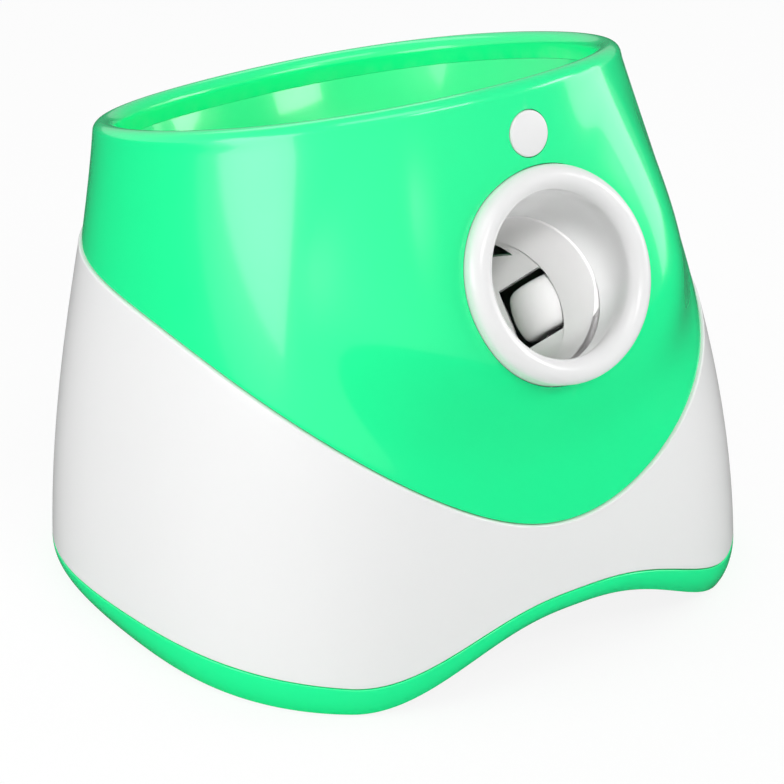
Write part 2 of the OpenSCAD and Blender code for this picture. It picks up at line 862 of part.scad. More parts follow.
tray_x = 41;
tray_y = [18, 80];
tray_wall = 2;
tray_floor = 6.2;
cell_r = 9.2;
cell_len = 65;
cell_z = plate_z - tray_wall - cell_r - 0.2;
door_screw_spots = [for (x = [-1, 1]) [x * (tray_x - 10), tray_y[0] - 3.5]];
module battery_tray() {
    color(dark_grey)
        difference() {
            union() {
                translate([-tray_x, tray_y[0], tray_floor])
                    cube([2 * tray_x, tray_y[1] - tray_y[0], plate_z - tray_floor]);
                for (p = door_screw_spots)
                    translate([p[0], p[1], tray_floor])
                        cylinder(r = 4, h = plate_z - tray_floor);
            }
            translate([tray_wall - tray_x, tray_y[0] + tray_wall, tray_floor - 1])
                cube([2 * (tray_x - tray_wall), tray_y[1] - tray_y[0] - 2 * tray_wall,
                      plate_z - tray_floor - tray_wall + 1]);
            for (p = door_screw_spots)
                translate([p[0], p[1], tray_floor - 1])
                    cylinder(r = 1.55, h = 10);
        }
}

module battery_cells() {
    for (k = [0:2])
        translate([0, (tray_y[0] + tray_y[1]) / 2 + (k - 1) * 19.4, cell_z])
            rotate([0, 90, 0]) {
                color([0.25, 0.45, 0.75])
                    translate([0, 0, -cell_len / 2])
                        cylinder(r = cell_r, h = cell_len);
                color(steel)
                    translate([0, 0, -cell_len / 2 - 1.2])
                        cylinder(r = 3, h = cell_len + 2.4);
            }
}

// A plate and a cone-shaped spring at both ends of each cell
contact_x = tray_x - tray_wall;
module battery_contacts() {
    gap = contact_x - cell_len / 2 - 1.2;
    color(steel)
        for (k = [0:2], side = [-1, 1])
            translate([side * contact_x, (tray_y[0] + tray_y[1]) / 2 + (k - 1) * 19.4, cell_z])
                rotate([0, -90 * side, 0]) {
                    translate([-6, -6, 0])
                        cube([12, 12, 0.6]);
                    rotate_extrude()
                        polygon(concat(
                            [[0, 0]],
                            [for (i = [0:7]) [5 - 0.4 * i - (i % 2) * 0.9, 0.6 + (gap - 0.6) * i / 7]],
                            [[0, gap]]));
                }
}

door_wall = 2;
module battery_door() {
    color(dark_grey)
        difference() {
            translate([-tray_x - 2, tray_y[0] - 9, tray_floor - door_wall])
                cube([2 * tray_x + 4, tray_y[1] - tray_y[0] + 11, door_wall]);
            for (p = door_screw_spots)
                translate([p[0], p[1], 0])
                    cylinder(r = 1.6, h = 10);
        }
}

inlet_x = -28;
inlet_r = 5.6;
switch_x = 0;
rear_y = skin(180, rear_panel_z, 0)[1];
inlet_y = skin(180 + asin(inlet_x / base_half_width), rear_panel_z, 0)[1];
module power_inlet() {
    color([0.08, 0.08, 0.09])
        translate([inlet_x, inlet_y, rear_panel_z])
            difference() {
                union() {
                    rotate([90, 0, 0])
                        translate([0, 0, -0.4])
                            cylinder(r = inlet_r, h = 9);
                    translate([-7, -17, -6])
                        cube([14, 9, 12]);
                }
                rotate([90, 0, 0])
                    translate([0, 0, -1])
                        difference() {
                            cylinder(r = 2.85, h = 11);
                            translate([0, 0, 2.5])
                                cylinder(r = 1, h = 12);
                        }
            }
}

rocker_pivot = [switch_x, rear_y - 2.6, rear_panel_z];
module switch_body() {
    color([0.08, 0.08, 0.09])
        difference() {
            union() {
                translate([switch_x - 10.7, rear_y + 0.4, rear_panel_z - 7.7])
                    cube([21.4, 1.4, 15.4]);
                translate([switch_x - 9.4, rear_y - 15, rear_panel_z - 6.4])
                    cube([18.8, 15.5, 12.8]);
            }
            translate([switch_x - 7.2, rear_y - 9, rear_panel_z - 4.6])
                cube([14.4, 12, 9.2]);
            translate([switch_x, rocker_pivot[1], rear_panel_z - 5.5])
                cylinder(r = 1.05, h = 11);
        }
}

module switch_rocker() {
    color(dark_grey)
        translate(rocker_pivot)
            union() {
                translate([0, 0, -5.4])
                    cylinder(r = 1, h = 10.8);
                translate([0, 0, -4.3])
                    linear_extrude(8.6)
                        polygon([[-6, 2.2], [-5.8, 3.1], [0, 3.4], [5.6, 4.9], [6, 4.2],
                                 [3, -1.5], [-3, -1.5]]);
            }
}

// --- fasteners ---
module screw(head_r, head_h, r, length) {
    cylinder(r = head_r, h = head_h);
    translate([0, 0, head_h - 0.1])
        cylinder(r = r, h = length + 0.1);
}

module base_screws() {
    color(steel)
        at_feet()
            translate([0, 0, leg_floor + pad_seat + 3.1])
                difference() {
                    screw(3.4, 2.4, base_screw_r, 34);
                    translate([-0.5, -2, -1])
                        cube([1, 4, 2]);
                }
}

module nozzle_screws() {
    color(steel)
        nozzle_frame()
            for (p = ear_spots)
                translate([p[0], p[1], -duct_front - joint_wall - 1.9])
                    screw(2.6, 1.9, 1.3, 5);
}

// Screws that hold a 3 mm foot down on the base plate
module foot_screws(spots) {
    color(steel)
        for (p = spots)
            translate([p[0], p[1], plate_top + 3 + 1.8])
                mirror([0, 0, 1])
                    screw(2.6, 1.8, 1.4, 5);
}
module bracket_screws() foot_screws(bracket_screw_spots);
module cradle_screws() foot_screws(cradle_screw_spots);

// Two screws for each wheel motor, and two for the feed motor
module motor_screws() {
    color(steel) {
        for (side = [-1, 1])
            wheel_frame(side)
                for (x = [-8, 8])
                    translate([x, 0, 1.6 - plate_low])
                        mirror([0, 0, 1])
                            screw(2.4, 1.6, 1.25, 6);
        for (u = [45, 225])
            translate([cheek_right_x - 1.6, 0, 0])
                translate(pinion_centre + [0, 8.5 * cos(u), 8.5 * sin(u)])
                    rotate([0, 90, 0])
                        screw(2.4, 1.6, 1.25, 6);
    }
}

module board_screws() {
    color(steel)
        board_corners()
            translate([0, 0, board[2] + board_size[2] + 1.6])
                mirror([0, 0, 1])
                    screw(2.6, 1.6, 1.35, 7);
}

module door_screws() {
    color(steel)
        for (p = door_screw_spots)
            translate([p[0], p[1], tray_floor - door_wall - 1.7])
                screw(2.6, 1.7, 1.5, 9);
}

module hub_left() hub(-1);
module hub_right() hub(1);
module tyre_left() tyre(-1);
module tyre_right() tyre(1);
module shaft_left() shaft(-1);
module shaft_right() shaft(1);
module motor_left() motor(-1);
module motor_right() motor(1);
module wheel_plate_left() wheel_plate_part(-1);
module wheel_plate_right() wheel_plate_part(1);

upper_shell();
lower_shell();
base_trim();
base_plate();
foot_pads();
hopper_funnel();
nozzle();
ball_duct();
duct_cradle();
wheel_plate_left();
wheel_plate_right();
motor_left();
motor_right();
hub_left();
hub_right();
tyre_left();
tyre_right();
shaft_left();
shaft_right();
feed_arm();
feed_shaft();
feed_pinion();
pinion_shaft();
feed_bracket();
feed_motor();
limit_switch();
ball_sensors();
mode_button();
button_board();
main_board();
board_parts();
battery_tray();
battery_cells();
battery_door();
power_inlet();
switch_body();
switch_rocker();
base_screws();
nozzle_screws();
bracket_screws();
door_screws();
motor_screws();
cradle_screws();
board_screws();
battery_contacts();
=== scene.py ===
# %% [markdown]
# # An automatic ball launcher for dogs
#
# The real thing is a plastic housing that a dog can feed by itself. Balls dropped into the
# tilted hopper roll down to a throat, a small arm pushes them up a duct one at a time, and two
# spinning wheels throw them out of the round nozzle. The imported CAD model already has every
# piece at its true size, so this script is about looks: smooth shells where the CAD has flat
# facets, and a finish for every surface.

# %% Load the frame
import json
import math

import bmesh
import bpy
from mathutils import Matrix, Vector


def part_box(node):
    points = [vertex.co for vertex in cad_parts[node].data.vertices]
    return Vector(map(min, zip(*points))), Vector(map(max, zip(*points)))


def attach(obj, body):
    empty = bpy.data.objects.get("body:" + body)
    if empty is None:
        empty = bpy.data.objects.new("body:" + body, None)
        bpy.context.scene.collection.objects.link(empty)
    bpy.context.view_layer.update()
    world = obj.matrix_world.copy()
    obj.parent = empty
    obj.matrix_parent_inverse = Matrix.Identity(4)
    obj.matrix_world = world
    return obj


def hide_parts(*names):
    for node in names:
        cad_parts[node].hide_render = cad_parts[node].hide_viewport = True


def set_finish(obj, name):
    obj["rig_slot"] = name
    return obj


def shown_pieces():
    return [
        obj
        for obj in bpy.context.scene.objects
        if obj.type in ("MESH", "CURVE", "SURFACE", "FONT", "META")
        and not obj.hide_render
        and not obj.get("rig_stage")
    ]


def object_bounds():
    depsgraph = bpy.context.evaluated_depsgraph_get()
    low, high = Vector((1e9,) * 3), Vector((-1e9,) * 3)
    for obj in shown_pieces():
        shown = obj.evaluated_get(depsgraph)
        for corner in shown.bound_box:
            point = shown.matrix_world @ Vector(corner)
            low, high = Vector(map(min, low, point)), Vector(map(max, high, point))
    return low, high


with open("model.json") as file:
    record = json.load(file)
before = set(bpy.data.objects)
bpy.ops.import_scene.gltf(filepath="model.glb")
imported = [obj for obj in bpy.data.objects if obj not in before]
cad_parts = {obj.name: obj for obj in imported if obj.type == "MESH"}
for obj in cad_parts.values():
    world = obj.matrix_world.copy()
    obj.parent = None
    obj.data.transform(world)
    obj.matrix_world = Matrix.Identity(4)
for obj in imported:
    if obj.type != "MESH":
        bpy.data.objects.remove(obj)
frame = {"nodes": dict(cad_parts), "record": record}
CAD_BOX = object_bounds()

NODES = frame["nodes"]
RECORD = frame["record"]
BODY_OF = {node: body for body, nodes in RECORD["behaviour"]["bodies"].items() for node in nodes}
SLOT_OF = {row["node"]: row["material_slot"] for row in RECORD["subparts"]}
SIZE = CAD_BOX[1] - CAD_BOX[0]
print(f"{len(NODES)} nodes, {1000 * SIZE.x:.1f} x {1000 * SIZE.y:.1f} x {1000 * SIZE.z:.1f} mm")

# %% [markdown]
# ## The outline of the housing
#
# Seen from above, the real housing is a rounded box that is slightly egg-shaped, and it narrows
# from a wide base to the rim of the hopper. A mould designer would loft one smooth skin between
# the two outlines. The same idea works here: one function gives the point of the skin at any
# angle and any height, and every shell is cut from that skin, so the shells always match.
# Lengths are millimetres up to the moment a mesh is made.

# %% Driving sizes of the skin
MM = 0.001
BASE_HALF_WIDTH = 118.95
BASE_HALF_DEPTH = 117.0
BASE_EGG = -0.014        # more at the nozzle than at the back
BASE_CORNER = -0.043     # how far the outline leans towards a square
RIM_HALF_WIDTH = 84.0
RIM_HALF_DEPTH = 89.0
RIM_EGG = 0.008
RIM_CORNER = -0.018
RIM_SHIFT = 16.7         # the rim sits this far behind the middle of the base
RIM_HEIGHT = 176.4
RIM_SLOPE = 0.288        # the rim falls towards the back
WAIST_POWER = 1.854      # 1 would be a straight cone
LIP_R = 4.2              # the rolled edge of the hopper
WALL = 2.5


def swell(angle, egg, corner):
    """How far the outline bulges at an angle, as a factor on a plain ellipse."""
    return 1 + egg * math.cos(3 * angle) + corner * math.cos(4 * angle)


BASE_SWELLS = [swell(angle, BASE_EGG, BASE_CORNER) for angle in (0, math.pi)]
BASE_SHIFT = BASE_HALF_DEPTH * (BASE_SWELLS[0] - BASE_SWELLS[1]) / 2


def outward(angle):
    """The level direction out of the housing. Angle 0 is at the nozzle, which faces -Y."""
    return Vector((math.sin(angle), -math.cos(angle), 0))


def base_point(angle):
    k = swell(angle, BASE_EGG, BASE_CORNER)
    x = BASE_HALF_WIDTH * math.sin(angle) * k
    return Vector((x, BASE_SHIFT - BASE_HALF_DEPTH * math.cos(angle) * k, 0))


def rim_point(angle):
    k = swell(angle, RIM_EGG, RIM_CORNER)
    x = RIM_HALF_WIDTH * math.sin(angle) * k
    return Vector((x, RIM_SHIFT - RIM_HALF_DEPTH * math.cos(angle) * k, 0))


def rim_z(angle):
    return RIM_HEIGHT - RIM_SLOPE * rim_point(angle).y


def plain_skin(angle, z, inset=0.0):
    """The point of the lofted skin at a height, moved in by inset."""
    share = max(z, 0) / rim_z(angle)
    base = base_point(angle)
    point = base + (rim_point(angle) - base) * share ** WAIST_POWER
    point += outward(angle) * (LIP_R * share ** 6 - inset)
    return Vector((point.x, point.y, z))


def smooth_step(value, low, high):
    """0 below low, 1 above high, with an even start and end."""
    share = min(max((value - low) / (high - low), 0), 1)
    return share * share * (3 - 2 * share)


# %% [markdown]
# ## The flat land round the nozzle
#
# The nozzle's face is flat but the wall behind it is curved, so on a plain skin the ring would
# stand far out at its sides. Here the wall swells to a flat land behind the ring: each point is
# raised towards the plane of the ring's face, fully near the ring and not at all further out.

# %% The flat land round the nozzle
NOZZLE_Z = 141.0
NOZZLE_LEAN = math.radians(23.7)
NOZZLE_PROUD = 5.0       # the middle of its face stands this far out of the wall
FACE_CENTRE = plain_skin(0, NOZZLE_Z, -NOZZLE_PROUD)
FACE_NORMAL = Vector((0, -math.cos(NOZZLE_LEAN), math.sin(NOZZLE_LEAN)))
LAND_BEHIND = 2.0        # the land lies this far behind the nozzle's face
LAND_SOFTNESS = 1.5
LAND_FADE = (38.0, 80.0)     # it fades out between these distances from the nozzle's middle
LAND_FOOT = (72.0, 132.0)    # and downwards between these heights


def skin(angle, z, inset=0.0):
    """The outer skin, raised to a flat land round the nozzle so that the ring lies close on it."""
    point = plain_skin(angle, z, inset)
    if math.cos(angle) < 0:
        return point
    offset = plain_skin(angle, z) - FACE_CENTRE
    behind = -offset.dot(FACE_NORMAL)
    apart = (offset + FACE_NORMAL * behind).length
    gap = behind - LAND_BEHIND
    raised = (gap + math.hypot(gap, LAND_SOFTNESS)) / 2
    raised *= (1 - smooth_step(apart, *LAND_FADE)) * smooth_step(z, *LAND_FOOT)
    point.y -= raised / math.cos(NOZZLE_LEAN)
    return point


def lip_point(angle, out, up):
    """A point near the rolled lip, measured from the middle of its round edge."""
    point = rim_point(angle) + outward(angle) * out
    return Vector((point.x, point.y, rim_z(angle) + up))


print(f"rim from {rim_z(math.pi):.1f} mm at the back to {rim_z(0):.1f} mm at the nozzle")

# %% [markdown]
# ## Seam and base edge
#
# Two lines run round the housing. The colour seam is high at the sides and the back and dips
# under the nozzle, and the green base trim rises into an arch at the front and the rear. Both
# are plain functions of the angle, so the shells on the two sides of a line share it exactly.

# %% The two lines round the housing
SEAM_LOW = 56.0
SEAM_HIGH = 118.0
SEAM_POWER = 12          # how narrow the dip under the nozzle is
SEAM_GAP = 0.3
ARCH_HEIGHT = 23.0
ARCH_ANGLE = math.radians(42)
ARCH_CROWN = 1.3         # above 1 keeps the top of the arch flat for longer
TRIM_BAND = 8.2
TRIM_SWELL = 5.0
SWELL_END = math.radians(128)


def seam(angle):
    return SEAM_HIGH - (SEAM_HIGH - SEAM_LOW) * abs(math.cos(angle / 2)) ** SEAM_POWER


def from_front(angle):
    """The angle from the nozzle, from 0 to half a turn, the same on both sides."""
    turn = abs(angle) % math.tau
    return min(turn, math.tau - turn)


def arch(angle):
    side = from_front(angle)
    share = min(side, math.pi - side) / ARCH_ANGLE
    return ARCH_HEIGHT * math.cos(math.pi / 2 * share ** ARCH_CROWN) ** 2 if share < 1 else 0.0


def trim_top(angle):
    side = from_front(angle)
    bulge = TRIM_SWELL * math.sin(math.pi * side / SWELL_END) ** 2 if side < SWELL_END else 0.0
    return arch(angle) + TRIM_BAND + bulge


print(f"seam {seam(0):.0f} to {seam(math.pi):.0f} mm, arch {arch(0):.0f} mm high")

# %% [markdown]
# ## Turning a section into a shell
#
# A moulded shell that goes all the way round is a closed section swept round the housing. The
# CAD does that with a few dozen stations, which shows as facets on a glossy surface. Here the
# same section is swept with a station every degree and rounded edges, and shaded smooth except
# where it really turns a corner.

# %% Helpers that make meshes
STATIONS = 360
SMOOTH_ANGLE = math.radians(32)


def add_object(name, data):
    piece = bpy.data.objects.new(name, data)
    bpy.context.scene.collection.objects.link(piece)
    return piece


def add_form(name, points, faces):
    """A piece made from points in metres and the faces between them."""
    mesh = bpy.data.meshes.new(name)
    mesh.from_pydata(points, [], faces)
    return add_object(name, mesh)


def shade(piece):
    """Smooth shading that keeps the real corners crisp."""
    piece.data.shade_smooth()
    piece.data.set_sharp_from_angle(angle=SMOOTH_ANGLE)


def weld(mesh):
    """Joins points that lie on each other, as at the middle of a turned piece."""
    form = bmesh.new()
    form.from_mesh(mesh)
    bmesh.ops.remove_doubles(form, verts=form.verts, dist=1e-7)
    form.to_mesh(mesh)
    form.free()


def shares(count, start=0.0, end=1.0):
    """count + 1 even steps from start to end."""
    return [start + (end - start) * i / count for i in range(count + 1)]


def full_turn(count):
    """count even angles, once round."""
    return [math.tau * i / count for i in range(count)]


def round_point(radius, turn, height):
    return Vector((radius * math.cos(turn), radius * math.sin(turn), height))


def loft(name, rows):
    """A form that goes round through rows of points; each row is a closed section."""
    count = len(rows[0])
    faces = []
    for i in range(len(rows)):
        here = i * count
        there = (i + 1) % len(rows) * count
        for j in range(count):
            k = (j + 1) % count
            faces.append((here + j, there + j, there + k, here + k))
    return add_form(name, [point for row in rows for point in row], faces)


def swept_ring(name, section, place=Matrix()):
    """Sweeps section(angle), a closed list of points in millimetres, once round."""
    rows = [[place @ (point * MM) for point in section(turn)] for turn in full_turn(STATIONS)]
    piece = loft(name, rows)
    shade(piece)
    return piece


def applied(piece):
    """Replaces a piece's mesh by what its modifiers make of it."""
    made = bpy.data.meshes.new_from_object(piece.evaluated_get(bpy.context.evaluated_depsgraph_get()))
    piece.modifiers.clear()
    piece.data = made


def combine(piece, other, how):
    tool = piece.modifiers.new("combine", "BOOLEAN")
    tool.operation = how
    tool.object = other
    tool.solver = "EXACT"
    applied(piece)
    bpy.data.objects.remove(other)


def cut(piece, cutter):
    """Takes the cutter's space out of the piece."""
    combine(piece, cutter, "DIFFERENCE")


def merge(piece, other):
    """Makes other a part of the piece."""
    combine(piece, other, "UNION")


def spun(name, section, place, segments=128):
    """Turns section, a closed list of (radius, height) in millimetres, about the local Z axis."""
    piece = loft(name, [[place @ (round_point(r, turn, h) * MM) for r, h in section]
                        for turn in full_turn(segments)])
    weld(piece.data)
    shade(piece)
    return piece


def prism(name, outline, low, high, place=Matrix()):
    """A straight form from low to high along the local Z axis, over an outline of (x, y)."""
    count = len(outline)
    points = [place @ (Vector((x, y, h)) * MM) for h in (low, high) for x, y in outline]
    faces = [(i, (i + 1) % count, (i + 1) % count + count, i + count) for i in range(count)]
    faces += [tuple(reversed(range(count))), tuple(range(count, 2 * count))]
    return add_form(name, points, faces)


def drum(name, radius, low, high, place, segments=128):
    """A plain round form, mostly a cutter."""
    outline = [(radius * math.cos(turn), radius * math.sin(turn)) for turn in full_turn(segments)]
    return prism(name, outline, low, high, place)


def block(name, low, high):
    """A plain box cutter between two corners in millimetres."""
    xs, ys, zs = zip(low, high)
    faces = [(0, 1, 3, 2), (4, 6, 7, 5), (0, 4, 5, 1), (2, 3, 7, 6), (0, 2, 6, 4), (1, 5, 7, 3)]
    return add_form(name, [Vector((x, y, z)) * MM for x in xs for y in ys for z in zs], faces)


def stands_for(piece, *nodes):
    """The piece takes over from CAD nodes of one body, with their finish, and stays where they are."""
    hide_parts(*nodes)
    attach(piece, BODY_OF[nodes[0]])
    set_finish(piece, SLOT_OF[nodes[0]])
    corners = [piece.matrix_world @ Vector(c) for c in piece.bound_box]
    low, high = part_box(nodes[0])
    grow = [max(c[i] for c in corners) - high[i] for i in range(3)]
    grow += [low[i] - min(c[i] for c in corners) for i in range(3)]
    print(f"{piece.name}: {len(piece.data.polygons)} faces,",
          f"at most {1000 * max(grow):.2f} mm outside its node")


def arc(centre, radius, start, end, steps):
    """Points of an arc in a section, from start to end in degrees."""
    turns = [math.radians(degrees) for degrees in shares(steps, start, end)]
    return [(centre[0] + radius * math.cos(t), centre[1] + radius * math.sin(t)) for t in turns]


# %% [markdown]
# ## Frames of the nozzle and the button
#
# The nozzle and the button stand square on the leaning front wall, and the duct behind them
# points up at the launch angle. A matrix for each of these directions lets a piece be modelled
# upright, as on a lathe, and then set into the wall.

# %% Where the nozzle, the duct and the button stand
NOZZLE_R = 36.5
NOZZLE_BORE_R = 28.0
LAUNCH_ANGLE = math.radians(38)
BUTTON_Z = 185.2
BUTTON_R = 7.75


def lean(z):
    """How far the front wall leans back at a height."""
    return math.atan((plain_skin(0, z + 1).y - plain_skin(0, z - 1).y) / 2)


def facing(z, inset, angle):
    """A frame whose Z axis points out of the front wall, raised by angle."""
    origin = Vector((0, plain_skin(0, z, inset).y, z)) * MM
    return Matrix.Translation(origin) @ Matrix.Rotation(math.pi / 2 - angle, 4, "X")


NOZZLE_FRAME = facing(NOZZLE_Z, -NOZZLE_PROUD, NOZZLE_LEAN)
LAUNCH_FRAME = facing(NOZZLE_Z, -NOZZLE_PROUD, LAUNCH_ANGLE)
BUTTON_FRAME = facing(BUTTON_Z, 0, lean(BUTTON_Z))
print(f"the wall leans {math.degrees(lean(NOZZLE_Z)):.1f} degrees at the nozzle,",
      f"{math.degrees(lean(BUTTON_Z)):.1f} at the button")

# %% [markdown]
# ## Upper shell
#
# The green upper housing is one moulding: an outer wall that sets back a little behind the white
# skirt at the seam, a tongue that drops inside the skirt, and a rolled edge at the top that a
# nose or a hand can rest on. The section below walks once round that wall. The holes for the
# nozzle and the button are cut after the sweep, square to the wall, as the real tool's cores do.

# %% Upper shell
STEP_IN = 0.9            # the upper shell lies this far inside the skirt's surface
UPPER_WALL = 2.4
TONGUE = 7.0
TONGUE_WALL = 2.2
HOOK_WALL = 2.2
SKIRT_DROP = 5.0
EDGE_R = 0.6             # the small round on a moulded edge
HOLE_GAP = 0.25
CORE_OUT = 15            # a hole's core reaches this far out of the wall
ROLL_START = math.radians(14)    # where the rolled edge takes over from the leaning wall


def quarter(steps=4):
    """(across, along) of a rounded edge, from its start to its end, for a radius of 1."""
    return [(1 - math.cos(math.pi / 2 * t), 1 - math.sin(math.pi / 2 * t)) for t in shares(steps)]


def rolled(angle, radius, steps, start, end):
    """Points of an arc about the middle of the rolled edge."""
    turns = shares(steps, start, end)
    return [lip_point(angle, radius * math.cos(turn), radius * math.sin(turn)) for turn in turns]


def upper_section(angle):
    low = seam(angle) + SEAM_GAP
    grow = rim_z(angle) - low
    hook = LIP_R - HOOK_WALL
    outside = [skin(angle, low - TONGUE, WALL + SEAM_GAP), skin(angle, low, WALL + SEAM_GAP)]
    outside += [skin(angle, low + EDGE_R * rise, STEP_IN + EDGE_R * back) for rise, back in quarter()]
    outside += [skin(angle, low + grow * t, STEP_IN * (1 - t)) for t in shares(34, 0.02, 0.985)]
    roll = rolled(angle, LIP_R, 20, ROLL_START, math.pi)
    inside = [lip_point(angle, -LIP_R, -SKIRT_DROP), lip_point(angle, -hook, -SKIRT_DROP)]
    inside += rolled(angle, hook, 4, math.pi, 0)
    inside += [skin(angle, low + grow * t, UPPER_WALL + STEP_IN * (1 - t)) for t in shares(12, 0.9, 0.05)]
    inside += [skin(angle, low + 1, WALL + SEAM_GAP + TONGUE_WALL)]
    inside += [skin(angle, low - TONGUE, WALL + SEAM_GAP + TONGUE_WALL)]
    return outside + roll + inside


upper = swept_ring("upper_housing", upper_section)
cut(upper, drum("nozzle_core", NOZZLE_R + HOLE_GAP, -2 * CORE_OUT, CORE_OUT, NOZZLE_FRAME))
cut(upper, drum("button_core", BUTTON_R + HOLE_GAP, -CORE_OUT, CORE_OUT, BUTTON_FRAME))
shade(upper)
stands_for(upper, "upper_shell")

# %% [markdown]
# ## Lower skirt
#
# The white skirt stands a little proud of the green wall above it, so its rounded top edge shows
# as a fine line of light along the colour seam. The seam dips deep under the nozzle, which a
# swept section gives for free, because its top row simply follows the seam.

# %% Lower skirt
INLET_X = -28.0
INLET_R = 5.6
SWITCH_HALF_WIDTH = 9.7
SWITCH_HALF_HEIGHT = 6.7
REAR_PANEL_Z = 52.0
REAR_CORE = 12           # cores of the rear holes reach this far in and out of the wall


def lower_section(angle):
    low = trim_top(angle)
    top = seam(angle)
    grow = top - low
    outside = [skin(angle, low + EDGE_R * rise, EDGE_R * back) for rise, back in quarter()]
    outside += [skin(angle, low + grow * t, 0) for t in shares(26, 0.02, 0.98)]
    outside += [skin(angle, top - EDGE_R * rise, EDGE_R * back) for rise, back in reversed(quarter())]
    return outside + [skin(angle, low + grow * t, WALL) for t in shares(10, 1, 0)]


def level_frame(x, y, z):
    """A frame whose Z axis points straight out of the back."""
    return Matrix.Translation(Vector((x, y, z)) * MM) @ Matrix.Rotation(-math.pi / 2, 4, "X")


REAR_Y = skin(math.pi, REAR_PANEL_Z).y
lower = swept_ring("lower_skirt", lower_section)
cut(lower, drum("inlet_core", INLET_R + HOLE_GAP, -REAR_CORE, REAR_CORE,
                level_frame(INLET_X, REAR_Y, REAR_PANEL_Z)))
cut(lower, block("switch_core",
                 (-SWITCH_HALF_WIDTH, REAR_Y - REAR_CORE, REAR_PANEL_Z - SWITCH_HALF_HEIGHT),
                 (SWITCH_HALF_WIDTH, REAR_Y + REAR_CORE, REAR_PANEL_Z + SWITCH_HALF_HEIGHT)))
shade(lower)
stands_for(lower, "lower_shell")

# %% [markdown]
# ## Base trim
#
# The green trim closes the bottom of the skirt. Its lower edge tucks inwards, which is why the
# housing seems to float a little, and it lifts into an arch at the front and the rear. A tongue
# on its back side reaches up behind the skirt.

# %% Base trim
TRIM_FLOOR = 0.6         # the trim's edge clears the ground by this much
TRIM_TUCK = 3.4
TRIM_TONGUE = 6.0
TRIM_TONGUE_WALL = 1.8
TRIM_WALL = 3.0
TRIM_EDGE_R = 0.4


def trim_section(angle):
    low = arch(angle) + TRIM_FLOOR
    top = trim_top(angle) - SEAM_GAP
    rise = top - low
    behind = WALL + SEAM_GAP
    outside = [skin(angle, low + rise * t, TRIM_TUCK * (1 - t) ** 2.2) for t in shares(14, 0, 0.94)]
    outside += [skin(angle, top - TRIM_EDGE_R * up, TRIM_EDGE_R * back) for up, back in reversed(quarter())]
    deeper = behind + TRIM_TONGUE_WALL
    corners = [(top, behind), (top + TRIM_TONGUE, behind), (top + TRIM_TONGUE, deeper), (top, deeper)]
    tongue = [skin(angle, z, inset) for z, inset in corners]
    return outside + tongue + [skin(angle, low, TRIM_TUCK + TRIM_WALL)]


trim = swept_ring("base_band", trim_section)
stands_for(trim, "base_trim")

# %% [markdown]
# ## Hopper bowl
#
# Inside the rolled edge the wall goes on down as a smooth bowl that turns and runs to the round
# throat over the duct. Its section is one cubic curve, offset once for the wall thickness, so
# balls always find a slope. The bowl starts right under the rolled edge, with a joint so fine
# that it hardly shows.

# %% Hopper bowl
DUCT_R = 26.5
THROAT_Z = 110.8
THROAT_TILT = 0.32
BOWL_WALL = 2.4
BOWL_JOINT = 0.08
TURN_LOW = 112.0         # height of the turn at the back, and its rise towards the front
TURN_RISE = 37.0
TURN_IN = 16.0           # the turn lies this far inside the rolled edge
THROAT_GAP = 0.5         # the bowl ends this far outside the duct's bore
TAB_GAP = 0.25           # between the bowl's tab and the hook of the rolled edge
TAB_TOP = -1.2
SEAT_Z = 58.6
SEAT_BACK = (NOZZLE_Z - SEAT_Z) / math.sin(LAUNCH_ANGLE)      # from the nozzle, along the duct
SEAT_Y = FACE_CENTRE.y + SEAT_BACK * math.cos(LAUNCH_ANGLE)


def throat_point(angle, radius, drop):
    """A point round the throat, whose edge rises towards the front."""
    forward = radius * math.cos(angle)
    return Vector((radius * math.sin(angle), SEAT_Y - forward, THROAT_Z + THROAT_TILT * forward - drop))


def bowl_turn(angle):
    """Height of the turn from the steep wall to the floor that runs to the throat."""
    return TURN_LOW + TURN_RISE * ((1 + math.cos(angle)) / 2) ** 1.5


def bowl_point(angle, t, thick):
    """A point of the bowl's section, t from 0 at the top to 1 at the throat."""
    top = lip_point(angle, thick - LIP_R, -SKIRT_DROP - BOWL_JOINT - thick)
    turn = rim_point(angle) - outward(angle) * (LIP_R + TURN_IN - thick * 0.4)
    turn.z = bowl_turn(angle) - thick
    end = throat_point(angle, DUCT_R + THROAT_GAP + thick * 0.6, thick * 0.5)
    s = 1 - t
    near_turn = top.lerp(turn, 0.95)
    past_turn = turn.lerp(end, 0.25)
    return s ** 3 * top + 3 * s * s * t * near_turn + 3 * s * t * t * past_turn + t ** 3 * end


def bowl_section(angle):
    front = [bowl_point(angle, t, 0) for t in shares(40)]
    back = [bowl_point(angle, t, BOWL_WALL) for t in shares(16, 1, 0)]
    hook = LIP_R - HOOK_WALL
    tab = [(-TAB_GAP, -SKIRT_DROP - 1.5), (-TAB_GAP, TAB_TOP),
           (TAB_GAP - hook, TAB_TOP), (TAB_GAP - hook, -SKIRT_DROP - BOWL_JOINT)]
    return front + back + [lip_point(angle, out, up) for out, up in tab]


bowl = swept_ring("hopper_bowl", bowl_section)
stands_for(bowl, "hopper_funnel")

# %% [markdown]
# ## Nozzle ring
#
# The nozzle is a ring with a thick, fully rounded lip, which spares a dog's gums and guides the
# ball. Its face leans back with the wall but its bore points up at the launch angle, so the bore
# is an ellipse in every level section and its middle wanders downwards. A lathe can't make that,
# so the ring is swept like the shells, and each section asks how far away the leaning bore is.

